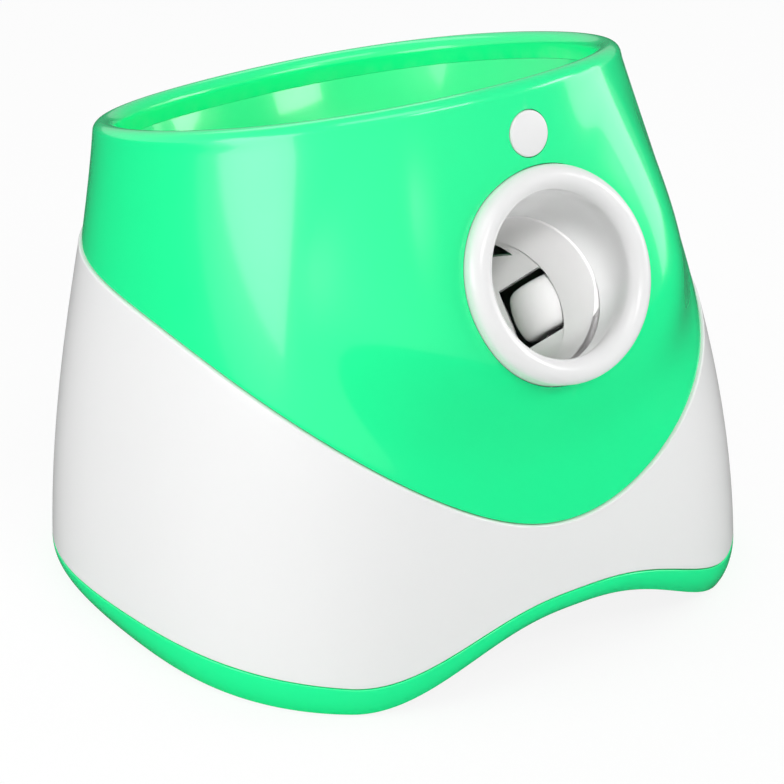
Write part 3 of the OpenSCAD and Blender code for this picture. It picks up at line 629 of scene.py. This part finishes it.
# %% Nozzle ring
DUCT_FRONT = 18.0        # depth of the joint between the nozzle and the duct
MOUTH_START = 18.5       # the duct's mouth begins this far down the launch line
COLLAR_R = 28.5
COLLAR_END_R = 26.6      # the collar narrows to the mouth
COLLAR_WALL = 0.7        # its thin lining reaches into the duct's sleeve
COLLAR_JOINT = 0.1
LIP_HALF = (NOZZLE_R - NOZZLE_BORE_R) / 2
LIP_EASE = 8.0           # depth over which the lip turns into the bore
FLARE = LAUNCH_ANGLE - NOZZLE_LEAN


def bore_radius(turn, height, radius):
    """From the ring's middle to the leaning bore, at a height over the ring's face."""
    shift = height * math.tan(FLARE)
    squash = math.cos(FLARE) ** 2
    a = math.cos(turn) ** 2 + math.sin(turn) ** 2 * squash
    b = -2 * math.sin(turn) * shift * squash
    c = shift ** 2 * squash - radius ** 2
    return (math.sqrt(b * b - 4 * a * c) - b) / (2 * a)


def bore_end(turn):
    """The height at which the bore reaches the mouth's shoulder."""
    height = -DUCT_FRONT
    for _ in range(6):
        across = bore_radius(turn, height, COLLAR_END_R) * math.sin(turn)
        height = (-MOUTH_START + COLLAR_JOINT - across * math.sin(FLARE)) / math.cos(FLARE)
    return height


def nozzle_section(turn):
    """The ring's section: side, rounded lip, the wall of the bore, and the joint at the back."""
    section = [(NOZZLE_R, -DUCT_FRONT * (1 - t)) for t in shares(6)[:-1]]
    section += arc((NOZZLE_R - LIP_HALF, 0), LIP_HALF, 0, 180, 28)
    deep = bore_end(turn)
    for t in shares(20)[1:]:
        height = deep * t
        bore = bore_radius(turn, height, COLLAR_R + (COLLAR_END_R - COLLAR_R) * t)
        section.append((NOZZLE_BORE_R + (bore - NOZZLE_BORE_R) * smooth_step(-height, 0, LIP_EASE), height))
    section += [(bore_radius(turn, deep, COLLAR_R + COLLAR_WALL), deep)]
    section += [(bore_radius(turn, -DUCT_FRONT, COLLAR_R + COLLAR_WALL), -DUCT_FRONT)]
    return [round_point(r, turn, h) for r, h in section]


# %% Its screw ears
EAR_R = 4.5
EAR_WALL = 2.5
EAR_HOLE_R = 1.35
EAR_SPOTS = [(x, y) for x in (-36, 36) for y in (-15, 22)]


def ear(spot, low):
    """One screw ear, from inside the ring's wall out to its screw."""
    root = NOZZLE_R - 2
    outline = [(root, -EAR_R)] + arc((math.hypot(*spot), 0), EAR_R, -90, 90, 24) + [(root, EAR_R)]
    turned = NOZZLE_FRAME @ Matrix.Rotation(math.atan2(spot[1], spot[0]), 4, "Z")
    return prism("ear", outline, low, low + EAR_WALL, turned)


def add_ears(piece, low):
    for spot in EAR_SPOTS:
        merge(piece, ear(spot, low))
        hole = NOZZLE_FRAME @ Matrix.Translation(Vector((*spot, 0)) * MM)
        cut(piece, drum("ear_hole", EAR_HOLE_R, -DUCT_FRONT - 6, -DUCT_FRONT + 6, hole, 24))


nozzle = swept_ring("nozzle_ring", nozzle_section, NOZZLE_FRAME)
add_ears(nozzle, -DUCT_FRONT)
shade(nozzle)
stands_for(nozzle, "nozzle")

# %% [markdown]
# ## Ball duct
#
# Behind the collar a smooth tube carries the ball. Its mouth has a soft edge and narrows a
# little, as moulded tubes do, and further in each wheel reaches through a slot in its side. The
# outside and the hollow are made first, each joined from plain turned forms, and one cut takes
# the hollow out of the outside, which is how its mould is made too.

# %% Ball duct: the outside
DUCT_WALL = 2.5
MOUTH_R = 26.2
MOUTH_THROAT_R = 25.4
MOUTH_EDGE_R = 1.2
MOUTH_END = 40.0
SLEEVE_LEN = 12.0
RISER_LEN = 70.0         # longer than it needs to be: the cut at the throat ends it
ELBOW_SWELL = 0.1
FAR = 60.0               # for a cutter that only has to be big enough
DUCT_OUTER_R = DUCT_R + DUCT_WALL
SEAT_FRAME = Matrix.Translation(Vector((0, SEAT_Y, SEAT_Z)) * MM)


def ball(name, radius, place):
    """A round end, spun from a half circle."""
    return spun(name, arc((0, 0), radius, -90, 90, 48), place)


def duct_outside():
    sleeve_r = COLLAR_R + DUCT_WALL
    sleeve_end = -MOUTH_START - SLEEVE_LEN
    tube = spun("ball_tube", [(0, -SEAT_BACK), (DUCT_OUTER_R, -SEAT_BACK), (DUCT_OUTER_R, sleeve_end),
                              (sleeve_r, sleeve_end), (sleeve_r, 0), (0, 0)], LAUNCH_FRAME)
    cut(tube, drum("joint_face", FAR, -DUCT_FRONT, FAR, NOZZLE_FRAME))
    merge(tube, ball("elbow", DUCT_OUTER_R + ELBOW_SWELL, SEAT_FRAME))
    merge(tube, drum("riser", DUCT_OUTER_R, 0, RISER_LEN, SEAT_FRAME))
    merge(tube, drum("flange", NOZZLE_R, -DUCT_FRONT - EAR_WALL, -DUCT_FRONT, NOZZLE_FRAME))
    add_ears(tube, -DUCT_FRONT - EAR_WALL)
    return tube


# %% Ball duct: the hollow
WHEEL_R = 27.0
WHEEL_W = 18.0
WHEEL_REACH = 4.5
WHEEL_BACK = 56.0
WHEEL_ROOM = 1.4
SLOT_HALF = WHEEL_W / 2 + 2.4
ARM_SLOT = 12.0
ARM_SLOT_Z = (33.0, 95.0)
SENSOR_HOLE_R = 2.6


def wheel_frame(side):
    """A frame on a wheel's axle, whose Z axis runs along the axle."""
    spot = Vector((side * (DUCT_R - WHEEL_REACH + WHEEL_R), 0, -WHEEL_BACK)) * MM
    return LAUNCH_FRAME @ Matrix.Translation(spot) @ Matrix.Rotation(-math.pi / 2, 4, "X")


def duct_hollow():
    edge = arc((MOUTH_R + MOUTH_EDGE_R, -MOUTH_START - MOUTH_EDGE_R), MOUTH_EDGE_R, 90, 180, 8)
    socket_r = COLLAR_R + COLLAR_WALL + COLLAR_JOINT
    line = [(0, -SEAT_BACK), (DUCT_R, -SEAT_BACK), (DUCT_R, -MOUTH_END), (MOUTH_THROAT_R, -MOUTH_END)]
    line += [(MOUTH_R, -MOUTH_START - MOUTH_EDGE_R)] + list(reversed(edge))[1:]
    line += [(socket_r, -MOUTH_START), (socket_r, 20), (0, 20)]
    hollow = spun("hollow", line, LAUNCH_FRAME)
    merge(hollow, ball("elbow_hollow", DUCT_R + ELBOW_SWELL, SEAT_FRAME))
    merge(hollow, drum("riser_hollow", DUCT_R, 0, RISER_LEN + 10, SEAT_FRAME))
    for side in (-1, 1):
        merge(hollow, drum("wheel_pocket", WHEEL_R + WHEEL_ROOM, -SLOT_HALF, SLOT_HALF, wheel_frame(side)))
        sensor = SEAT_FRAME @ Matrix.Rotation(side * math.pi / 2, 4, "Y")
        merge(hollow, drum("sensor_hole", SENSOR_HOLE_R, 0, 40, sensor, 32))
    low, high = ARM_SLOT_Z
    merge(hollow, block("arm_slot", (-ARM_SLOT / 2, SEAT_Y + 10, low), (ARM_SLOT / 2, SEAT_Y + 50, high)))
    return hollow


def throat_cutter():
    """A slab whose tilted underside cuts the riser off at the hopper's throat."""
    slab = block("throat_cut", (-FAR, -FAR, 0), (FAR, FAR, FAR))
    tilt = Matrix.Rotation(-math.atan(THROAT_TILT), 4, "X")
    slab.data.transform(Matrix.Translation(Vector((0, SEAT_Y, THROAT_Z - BOWL_WALL)) * MM) @ tilt)
    return slab


duct = duct_outside()
cut(duct, duct_hollow())
cut(duct, throat_cutter())
shade(duct)
stands_for(duct, "ball_duct")

# %% [markdown]
# ## Wheel tyres
#
# The two launch wheels grip the ball with a soft white tyre. Its tread is crowned so that the
# ball stays in the middle, and its shoulders are rounded. A finely spun section keeps the tread
# smooth where it shows in the nozzle.

# %% Wheel tyres
TYRE_DEPTH = 6.0
CROWN = 1.6
SHOULDER_DROP = 0.9      # how far the tread's edges fall, beyond the crown
SIDE_DROP = 3.4          # and where the flat sides begin


def tyre_section():
    half = WHEEL_W / 2
    inner = WHEEL_R - TYRE_DEPTH
    across = [2 * t - 1 for t in shares(24)]
    tread = [(WHEEL_R - CROWN * t * t - SHOULDER_DROP * t ** 12, t * (half - 0.3)) for t in across]
    side = WHEEL_R - SIDE_DROP
    return [(inner, -half), (side, -half)] + tread + [(side, half), (inner, half)]


for side, node in ((-1, "tyre_left"), (1, "tyre_right")):
    tyre = spun("smooth_" + node, tyre_section(), wheel_frame(side), 160)
    stands_for(tyre, node)

# %% [markdown]
# ## Round button
#
# The button over the nozzle turns the launcher on and sets how far it throws. It is a shallow
# white dome that stands just proud of the wall, on a flange that keeps it from falling out. A
# spun section with a rounded shoulder catches the light the way the moulded cap does.

# %% Round button
CAP_SPHERE_R = 40.0      # the dome is part of this sphere
CAP_RISE = 1.0
CAP_SHOULDER_R = 0.7
FLANGE_DEPTH = 4.2
FLANGE_WALL = 1.2
FLANGE_R = BUTTON_R + 1


def button_section():
    across = BUTTON_R - CAP_SHOULDER_R
    dome = [(across * t, CAP_RISE - CAP_SPHERE_R + math.sqrt(CAP_SPHERE_R ** 2 - (across * t) ** 2))
            for t in shares(14, 1, 0)]
    shoulder = arc((across, dome[0][1] - CAP_SHOULDER_R), CAP_SHOULDER_R, 0, 80, 6)
    top = FLANGE_WALL - FLANGE_DEPTH
    return [(0, -FLANGE_DEPTH), (FLANGE_R, -FLANGE_DEPTH), (FLANGE_R, top), (BUTTON_R, top)] + shoulder + dome


button = spun("mode_button_cap", button_section(), BUTTON_FRAME)
stands_for(button, "mode_button")

# %% [markdown]
# ## Effects that several finishes share
#
# Nothing moulded is one flat colour: the shade drifts a little over a big panel, the gloss is
# broken by handling, the skin has a faint ripple, edges are rubbed paler and dust settles on
# what faces up. Each effect is built once as a node group, with its strengths as inputs, and the
# finishes below place it with their own values. The groups work from object coordinates and
# surface direction, so a pattern stays on its piece in any view and any pose.

# %% Helpers for node groups
def feed(tree, socket, value):
    """Gives a socket its value: another socket, a number, or a colour as three numbers."""
    if isinstance(value, bpy.types.NodeSocket):
        tree.links.new(value, socket)
    elif socket.type == "RGBA":
        socket.default_value = (*value, 1)
    else:
        socket.default_value = value


def feed_all(tree, node, **values):
    """Feeds a node's inputs by their names, written small and with underscores."""
    for label, value in values.items():
        feed(tree, node.inputs[label.replace("_", " ").title()], value)


def output_of(tree, kind, label):
    """An output of a new node that needs no settings."""
    return tree.nodes.new("ShaderNode" + kind).outputs[label]


def new_group(name, inputs, outputs):
    """A group that changes a colour, with its other inputs (label, kind, default) and outputs."""
    group = bpy.data.node_groups.new(name, "ShaderNodeTree")
    for label, kind, value in [("Colour", "Color", (0.8, 0.8, 0.8, 1))] + inputs:
        socket = group.interface.new_socket(label, in_out="INPUT", socket_type="NodeSocket" + kind)
        socket.default_value = value
    group.interface.new_socket("Colour", in_out="OUTPUT", socket_type="NodeSocketColor")
    for label in outputs:
        group.interface.new_socket(label, in_out="OUTPUT", socket_type="NodeSocketFloat")
    return group, group.nodes.new("NodeGroupInput").outputs


def close_group(group, **results):
    """Gives a group its end node, fed with the results."""
    feed_all(group, group.nodes.new("NodeGroupOutput"), **results)
    return group


def noise(tree, scale, detail, vector=None):
    """A noise value over the piece; scale is in waves per metre."""
    node = tree.nodes.new("ShaderNodeTexNoise")
    vector = vector or output_of(tree, "TexCoord", "Object")
    feed_all(tree, node, scale=scale, detail=detail, vector=vector)
    return node.outputs["Fac"]


def arithmetic(tree, operation, *values):
    """A math node; each value is a socket or a plain number."""
    node = tree.nodes.new("ShaderNodeMath")
    node.operation = operation
    for socket, value in zip(node.inputs, values):
        feed(tree, socket, value)
    return node.outputs["Value"]


def ramp(tree, value, low, high):
    """0 below low, 1 above high, and a straight rise between them."""
    node = tree.nodes.new("ShaderNodeMapRange")
    for index, part in enumerate((value, low, high)):
        feed(tree, node.inputs[index], part)
    return node.outputs["Result"]


def coordinate(tree, vector, axis):
    node = tree.nodes.new("ShaderNodeSeparateXYZ")
    feed(tree, node.inputs[0], vector)
    return node.outputs[axis]


def mixed(tree, factor, first, second):
    """first at factor 0 and second at factor 1, as a colour."""
    node = tree.nodes.new("ShaderNodeMix")
    node.data_type = "RGBA"
    for index, value in ((0, factor), (6, first), (7, second)):
        feed(tree, node.inputs[index], value)
    return node.outputs[2]


def lightened(tree, colour, factor):
    node = tree.nodes.new("ShaderNodeHueSaturation")
    feed_all(tree, node, color=colour, value=factor)
    return node.outputs["Color"]


# %% [markdown]
# ### The skin of a moulding
#
# A slow noise shifts the lightness of the colour, a finer one varies the gloss where hands have
# been, and a very fine one gives the height of the ripple that a bump node turns into light.

# %% Group: moulded skin
def moulded_skin_group():
    group, given = new_group(
        "moulded_skin",
        [("Shade Drift", "Float", 0.04), ("Roughness", "Float", 0.3), ("Gloss Drift", "Float", 0.08),
         ("Ripple Scale", "Float", 300.0)],
        ["Roughness", "Height"])
    slow = arithmetic(group, "SUBTRACT", noise(group, 7.0, 2.0), 0.5)
    tone = arithmetic(group, "MULTIPLY_ADD", slow, given["Shade Drift"], 1.0)
    handled = arithmetic(group, "SUBTRACT", noise(group, 42.0, 4.0), 0.5)
    return close_group(
        group,
        colour=lightened(group, given["Colour"], tone),
        roughness=arithmetic(group, "MULTIPLY_ADD", handled, given["Gloss Drift"], given["Roughness"]),
        height=noise(group, given["Ripple Scale"], 3.0))


# %% [markdown]
# ### Rubbed edges and settled dust
#
# Cycles knows where a surface bends outwards, so the edge mask needs no painting. Dust is even
# simpler: it lies where the surface looks up, broken by a noise so it is never a clean line.

# %% Groups: rubbed edges and settled dust
def bent_outwards(tree):
    return ramp(tree, output_of(tree, "NewGeometry", "Pointiness"), 0.52, 0.62)


def facing_up(tree):
    return ramp(tree, coordinate(tree, output_of(tree, "NewGeometry", "Normal"), "Z"), 0.35, 0.95)


def cover_group(name, label, colour, amount, where, waves, detail, low, high):
    """Lays a second colour over the first: where says on what, and a noise breaks it up."""
    group, given = new_group(name, [(label, "Color", (*colour, 1)), ("Amount", "Float", amount)], ["Mask"])
    broken = arithmetic(group, "MULTIPLY", where(group), ramp(group, noise(group, waves, detail), low, high))
    mask = arithmetic(group, "MULTIPLY", broken, given["Amount"])
    return close_group(group, colour=mixed(group, mask, given["Colour"], given[label]), mask=mask)


# %% [markdown]
# ### Grain with a direction
#
# Drawn, turned and brushed metal all carry fine lines in one direction. A noise stretched along
# that direction gives them, as a change of gloss, of shade and of height together.

# %% Group: drawn lines
def drawn_lines_group():
    group, given = new_group(
        "drawn_lines",
        [("Stretch", "Vector", (60.0, 60.0, 1400.0)), ("Roughness", "Float", 0.3), ("Depth", "Float", 0.15)],
        ["Roughness", "Height"])
    spread = group.nodes.new("ShaderNodeVectorMath")
    spread.operation = "MULTIPLY"
    feed(group, spread.inputs[0], output_of(group, "TexCoord", "Object"))
    feed(group, spread.inputs[1], given["Stretch"])
    lines = noise(group, 1.0, 4.0, spread.outputs["Vector"])
    change = arithmetic(group, "MULTIPLY", arithmetic(group, "SUBTRACT", lines, 0.5), given["Depth"])
    return close_group(
        group,
        colour=lightened(group, given["Colour"], arithmetic(group, "ADD", change, 1.0)),
        roughness=arithmetic(group, "ADD", change, given["Roughness"]),
        height=lines)


GROUPS = {group.name: group for group in (
    moulded_skin_group(),
    cover_group("rubbed_edges", "Rubbed Colour", (1, 1, 1), 0.2, bent_outwards, 160.0, 5.0, 0.4, 0.65),
    cover_group("settled_dust", "Dust Colour", (0.7, 0.68, 0.64), 0.1, facing_up, 90.0, 6.0, 0.35, 0.75),
    drawn_lines_group())}
print("shared effects:", ", ".join(GROUPS))

# %% [markdown]
# ## Plastic and rubber finishes
#
# All the plastics follow one recipe with their own numbers: skin, rubbed edges, dust, then a
# Principled shader, whose clear coat is a plain number. The two shell colours are the ones that
# matter most: a saturated spring green and a clean white, both polished, so that lamps show in
# them as soft upright streaks.

# %% Plastic recipe
def place(tree, name, **values):
    """Puts a shared group into a material; each value is a number, a colour or a socket."""
    node = tree.nodes.new("ShaderNodeGroup")
    node.node_tree = GROUPS[name]
    feed_all(tree, node, **values)
    return node


def weathered(tree, colour, rubbed, edge, dust):
    """Rubs a colour at the edges and lays dust on it."""
    worn = place(tree, "rubbed_edges", colour=colour, rubbed_colour=rubbed, amount=edge)
    return place(tree, "settled_dust", colour=worn.outputs["Colour"], amount=dust)


def new_material(name):
    """A material with its tree and its Principled shader."""
    material = bpy.data.materials.new(name)
    material.use_nodes = True
    tree = material.node_tree
    return material, tree, tree.nodes["Principled BSDF"]


def bump(tree, shader, height, strength, depth):
    """Turns a height into light and shade; depth is in metres."""
    node = tree.nodes.new("ShaderNodeBump")
    feed_all(tree, node, height=height, strength=strength, distance=depth)
    feed_all(tree, shader, normal=node.outputs["Normal"])


def plastic(name, colour, roughness, rubbed, ripple_scale=300.0, ripple=0.1, drift=0.04, gloss_drift=0.08,
            edge=0.25, dust=0.06, coat=0.0):
    material, tree, shader = new_material(name)
    skin_node = place(tree, "moulded_skin", colour=colour, shade_drift=drift, roughness=roughness,
                      gloss_drift=gloss_drift, ripple_scale=ripple_scale)
    dusty = weathered(tree, skin_node.outputs["Colour"], rubbed, edge, dust)
    duller = arithmetic(tree, "MULTIPLY_ADD", dusty.outputs["Mask"], 0.5, skin_node.outputs["Roughness"])
    feed_all(tree, shader, base_color=dusty.outputs["Colour"], roughness=duller, coat_weight=coat,
             coat_roughness=0.08)
    bump(tree, shader, skin_node.outputs["Height"], ripple, 0.0002)
    return material


def rubber(name, colour, rubbed):
    """Rubber is duller than the plastics, with a coarser skin."""
    return plastic(name, colour, 0.62, rubbed, ripple_scale=900.0, ripple=0.35, drift=0.12, gloss_drift=0.15,
                   edge=0.4, dust=0.12)


# %% [markdown]
# ## Metals and the rest
#
# The motors' cans are drawn from plated steel sheet, the shafts are ground and the screws are
# zinc-plated, so they differ in the direction and depth of their lines. The circuit boards are
# a laminate with fine copper tracks that show through the lacquer as paler lines.

# %% Metal recipe and the board
def metal(name, colour, roughness, stretch, depth=0.2, dust=0.08):
    material, tree, shader = new_material(name)
    lines = place(tree, "drawn_lines", colour=colour, stretch=stretch, roughness=roughness, depth=depth)
    dusty = weathered(tree, lines.outputs["Colour"], (0.86, 0.86, 0.87), 0.4, dust)
    feed_all(tree, shader, base_color=dusty.outputs["Colour"], roughness=lines.outputs["Roughness"],
             metallic=1.0)
    bump(tree, shader, lines.outputs["Height"], 0.25, 0.00005)
    return material


def laminate(name, colour, track_colour):
    """A lacquered board: tracks are the edges of a square cell pattern."""
    material, tree, shader = new_material(name)
    skin_node = place(tree, "moulded_skin", colour=colour, shade_drift=0.12, roughness=0.3, gloss_drift=0.1,
                      ripple_scale=1200.0)
    cells = tree.nodes.new("ShaderNodeTexVoronoi")
    cells.feature = "F1"
    cells.distance = "CHEBYCHEV"
    feed_all(tree, cells, scale=240.0, vector=output_of(tree, "TexCoord", "Object"))
    tracks = ramp(tree, cells.outputs["Distance"], 0.42, 0.46)
    painted = mixed(tree, tracks, skin_node.outputs["Colour"], track_colour)
    feed_all(tree, shader, base_color=painted, roughness=skin_node.outputs["Roughness"])
    bump(tree, shader, tracks, 0.3, 0.00004)
    return material


# %% [markdown]
# ## A finish for every material slot
#
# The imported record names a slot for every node, so one table of finishes covers both the new
# shells and the CAD nodes that are shown as they are.

# %% The finishes
GREEN = (0.004, 0.97, 0.33)
FINISHES = {
    "green_shell": plastic("green_gloss", GREEN, 0.25, (0.35, 1.0, 0.62), ripple_scale=120.0, ripple=0.03,
                           drift=0.03, edge=0.12, dust=0.0, coat=0.7),
    "white_shell": plastic("white_gloss", (0.85, 0.85, 0.85), 0.25, (0.95, 0.95, 0.94), ripple_scale=120.0,
                           ripple=0.03, drift=0.02, edge=0.1, dust=0.0, coat=0.2),
    "grey_moulding": plastic("light_grey_satin", (0.84, 0.83, 0.83), 0.38, (0.9, 0.9, 0.89)),
    "dark_moulding": plastic("dark_grey_satin", (0.045, 0.045, 0.05), 0.45, (0.2, 0.2, 0.2),
                             ripple_scale=700.0, ripple=0.3),
    "tyre_rubber": rubber("white_rubber", (0.82, 0.81, 0.81), (0.9, 0.9, 0.88)),
    "foot_rubber": rubber("black_rubber", (0.022, 0.022, 0.023), (0.1, 0.1, 0.1)),
    "arm_moulding": plastic("orange_acetal", (0.8, 0.27, 0.03), 0.34, (0.95, 0.6, 0.3)),
    "gear_moulding": plastic("natural_acetal", (0.78, 0.77, 0.72), 0.32, (0.9, 0.9, 0.87)),
    "motor_steel": metal("plated_can", (0.58, 0.59, 0.61), 0.28, (60.0, 60.0, 1400.0)),
    "shaft_steel": metal("ground_shaft", (0.66, 0.67, 0.69), 0.18, (1500.0, 60.0, 60.0), depth=0.3),
    "screw_steel": metal("zinc_screw", (0.55, 0.57, 0.62), 0.32, (900.0, 900.0, 200.0), depth=0.25),
    "board_laminate": laminate("board_lacquer", (0.015, 0.16, 0.06), (0.06, 0.30, 0.12)),
    "board_components": plastic("component_black", (0.03, 0.03, 0.035), 0.4, (0.12, 0.12, 0.12)),
    "cell_sleeve": plastic("blue_sleeve", (0.03, 0.12, 0.42), 0.3, (0.2, 0.3, 0.6), coat=0.3),
    "black_moulding": plastic("black_nylon", (0.014, 0.014, 0.016), 0.4, (0.09, 0.09, 0.09),
                              ripple_scale=800.0, ripple=0.25),
}
print(f"{len(FINISHES)} finishes for {len(RECORD['materials'])} slots")

# %% [markdown]
# ## Dress every piece
#
# A CAD node keeps its mesh and only changes its material. A new piece takes the finish of the
# slot it was given when it took over its node.

# %% Assign the finishes
def dress(piece, finish):
    piece.data.materials.clear()
    piece.data.materials.append(finish)


for node, piece in NODES.items():
    dress(piece, FINISHES[SLOT_OF[node]])
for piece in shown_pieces():
    if "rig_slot" in piece:
        dress(piece, FINISHES[piece["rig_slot"]])

# %% [markdown]
# ## Floor, light and camera
#
# A product photograph on white has a floor that fades into the background. The floor here is
# almost white and adds a little light of its own, for the camera only, so it meets the world
# without a line and keeps the soft shadow. The gloss mirrors it only faintly, as over a dark
# table, so the green stays deep low down. From below it is clear, to show the underside.
#
# Soft lamps left and right give the two upright streaks on the green wall, two in front light it
# and the hopper, and a narrow beam from beside the camera reaches into the nozzle.

# %% Helpers for the studio
def blended(tree, factor, first, second):
    """A shader that is first at factor 0 and second at factor 1."""
    node = tree.nodes.new("ShaderNodeMixShader")
    for socket, value in zip(node.inputs, (factor, first, second)):
        feed(tree, socket, value)
    return node.outputs[0]


def glow(tree, strength):
    node = tree.nodes.new("ShaderNodeEmission")
    feed_all(tree, node, strength=strength)
    return node.outputs[0]


# %% Floor
FLOOR_HALF = 4.0
FLOOR_COLOUR = (0.93, 0.93, 0.93)
FLOOR_GLOW = 0.88
FLOOR_IN_GLOSS = 0.05    # how bright the floor is where the gloss mirrors it


def make_floor():
    corners = [(x * FLOOR_HALF, y * FLOOR_HALF, 0) for x, y in ((-1, -1), (1, -1), (1, 1), (-1, 1))]
    floor = add_form("floor", corners, [(0, 1, 2, 3)])
    floor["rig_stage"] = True
    material, tree, shader = new_material("white_floor")
    feed_all(tree, shader, base_color=FLOOR_COLOUR, roughness=0.9)
    in_gloss = output_of(tree, "LightPath", "Is Glossy Ray")
    mirrored = blended(tree, in_gloss, shader.outputs[0], glow(tree, FLOOR_IN_GLOSS))
    seen = arithmetic(tree, "MULTIPLY", output_of(tree, "LightPath", "Is Camera Ray"), FLOOR_GLOW)
    from_above = blended(tree, seen, mirrored, glow(tree, 1.0))
    below = output_of(tree, "NewGeometry", "Backfacing")
    surface = blended(tree, below, from_above, output_of(tree, "BsdfTransparent", 0))
    feed_all(tree, tree.nodes["Material Output"], surface=surface)
    floor.data.materials.append(material)


make_floor()

# %% World
SKY_LEFT = 0.78
SKY_RIGHT = 0.32


def make_world():
    """Plain soft light from all round, weaker on the right; the camera sees a white background."""
    world = bpy.data.worlds.new("studio")
    world.use_nodes = True
    bpy.context.scene.world = world
    tree = world.node_tree
    sky = tree.nodes["Background"]
    rightness = ramp(tree, coordinate(tree, output_of(tree, "TexCoord", "Generated"), "X"), -1, 1)
    strength = arithmetic(tree, "MULTIPLY_ADD", rightness, SKY_RIGHT - SKY_LEFT, SKY_LEFT)
    feed_all(tree, sky, color=(1, 1, 1), strength=strength)
    backdrop = tree.nodes.new("ShaderNodeBackground")
    feed_all(tree, backdrop, color=(1, 1, 1))
    seen = output_of(tree, "LightPath", "Is Camera Ray")
    surface = blended(tree, seen, sky.outputs[0], backdrop.outputs[0])
    feed_all(tree, tree.nodes["World Output"], surface=surface)


make_world()

# %% Lamps
MIDDLE = Vector((0, 0, 0.1))
BEAM_BLEND = 0.35        # how much of the beam fades out
BEAM_LAMP_R = 0.004      # a small lamp, so the beam's edge stays inside the ring


def aim(name, data, target, azimuth, elevation, distance):
    """Stands a lamp or the camera round the target, looking at it; angles in degrees."""
    a = math.radians(azimuth)
    e = math.radians(elevation)
    back = Vector((math.sin(a) * math.cos(e), -math.cos(a) * math.cos(e), math.sin(e)))
    thing = add_object(name, data)
    thing.location = target + back * distance
    thing.rotation_mode = "QUATERNION"
    thing.rotation_quaternion = (-back).to_track_quat("-Z", "Y")
    return thing


def soft_lamp(name, azimuth, elevation, distance, size, brightness):
    """A rectangular lamp that looks at the housing; brightness is its radiance, 1 being white."""
    data = bpy.data.lights.new(name, "AREA")
    data.shape = "RECTANGLE"
    data.size, data.size_y = size
    data.energy = brightness * math.pi * size[0] * size[1]
    aim(name, data, MIDDLE, azimuth, elevation, distance)


def mouth_beam(azimuth, elevation, distance, half_angle, power):
    """A narrow beam that reaches into the nozzle."""
    data = bpy.data.lights.new("mouth_beam", "SPOT")
    data.energy = power
    data.spot_size = 2 * math.radians(half_angle)
    data.spot_blend = BEAM_BLEND
    data.shadow_soft_size = BEAM_LAMP_R
    aim("mouth_beam", data, FACE_CENTRE * MM, azimuth, elevation, distance)


soft_lamp("left_softbox", -96, 17, 0.75, (0.5, 0.26), 3.4)
soft_lamp("right_softbox", 69, 11.5, 0.75, (0.39, 0.22), 2.5)
soft_lamp("front_softbox", -3, 39, 1.2, (0.55, 0.18), 7.0)
soft_lamp("side_softbox", 55, 23, 1.2, (0.47, 0.21), 6.5)
soft_lamp("high_softbox", -40, 62, 1.1, (0.8, 0.35), 2.2)
soft_lamp("back_softbox", 165, 42, 1.2, (0.8, 0.4), 1.4)
mouth_beam(-34, 31, 1.25, 0.95, 60.0)

# %% Camera
CAMERA_AZIMUTH = -36.9
CAMERA_ELEVATION = 24.93
CAMERA_DISTANCE = 1.347
CAMERA_TARGET = Vector((0, -0.00415, 0.0644))
CAMERA_LENS = 174.7


def make_camera():
    data = bpy.data.cameras.new("photo_view")
    data.lens = CAMERA_LENS
    data.sensor_width = 36
    data.clip_start = 0.05
    return aim("photo_view", data, CAMERA_TARGET, CAMERA_AZIMUTH, CAMERA_ELEVATION, CAMERA_DISTANCE)


bpy.context.scene.camera = make_camera()
bpy.context.scene.view_settings.view_transform = "Standard"

# %% Sizes, and the end
LOOKS_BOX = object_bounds()
for axis, low, high, new_low, new_high in zip("XYZ", *CAD_BOX, *LOOKS_BOX):
    print(f"{axis}: CAD {1000 * low:.2f}..{1000 * high:.2f} mm,",
          f"looks {1000 * new_low:.2f}..{1000 * new_high:.2f}")
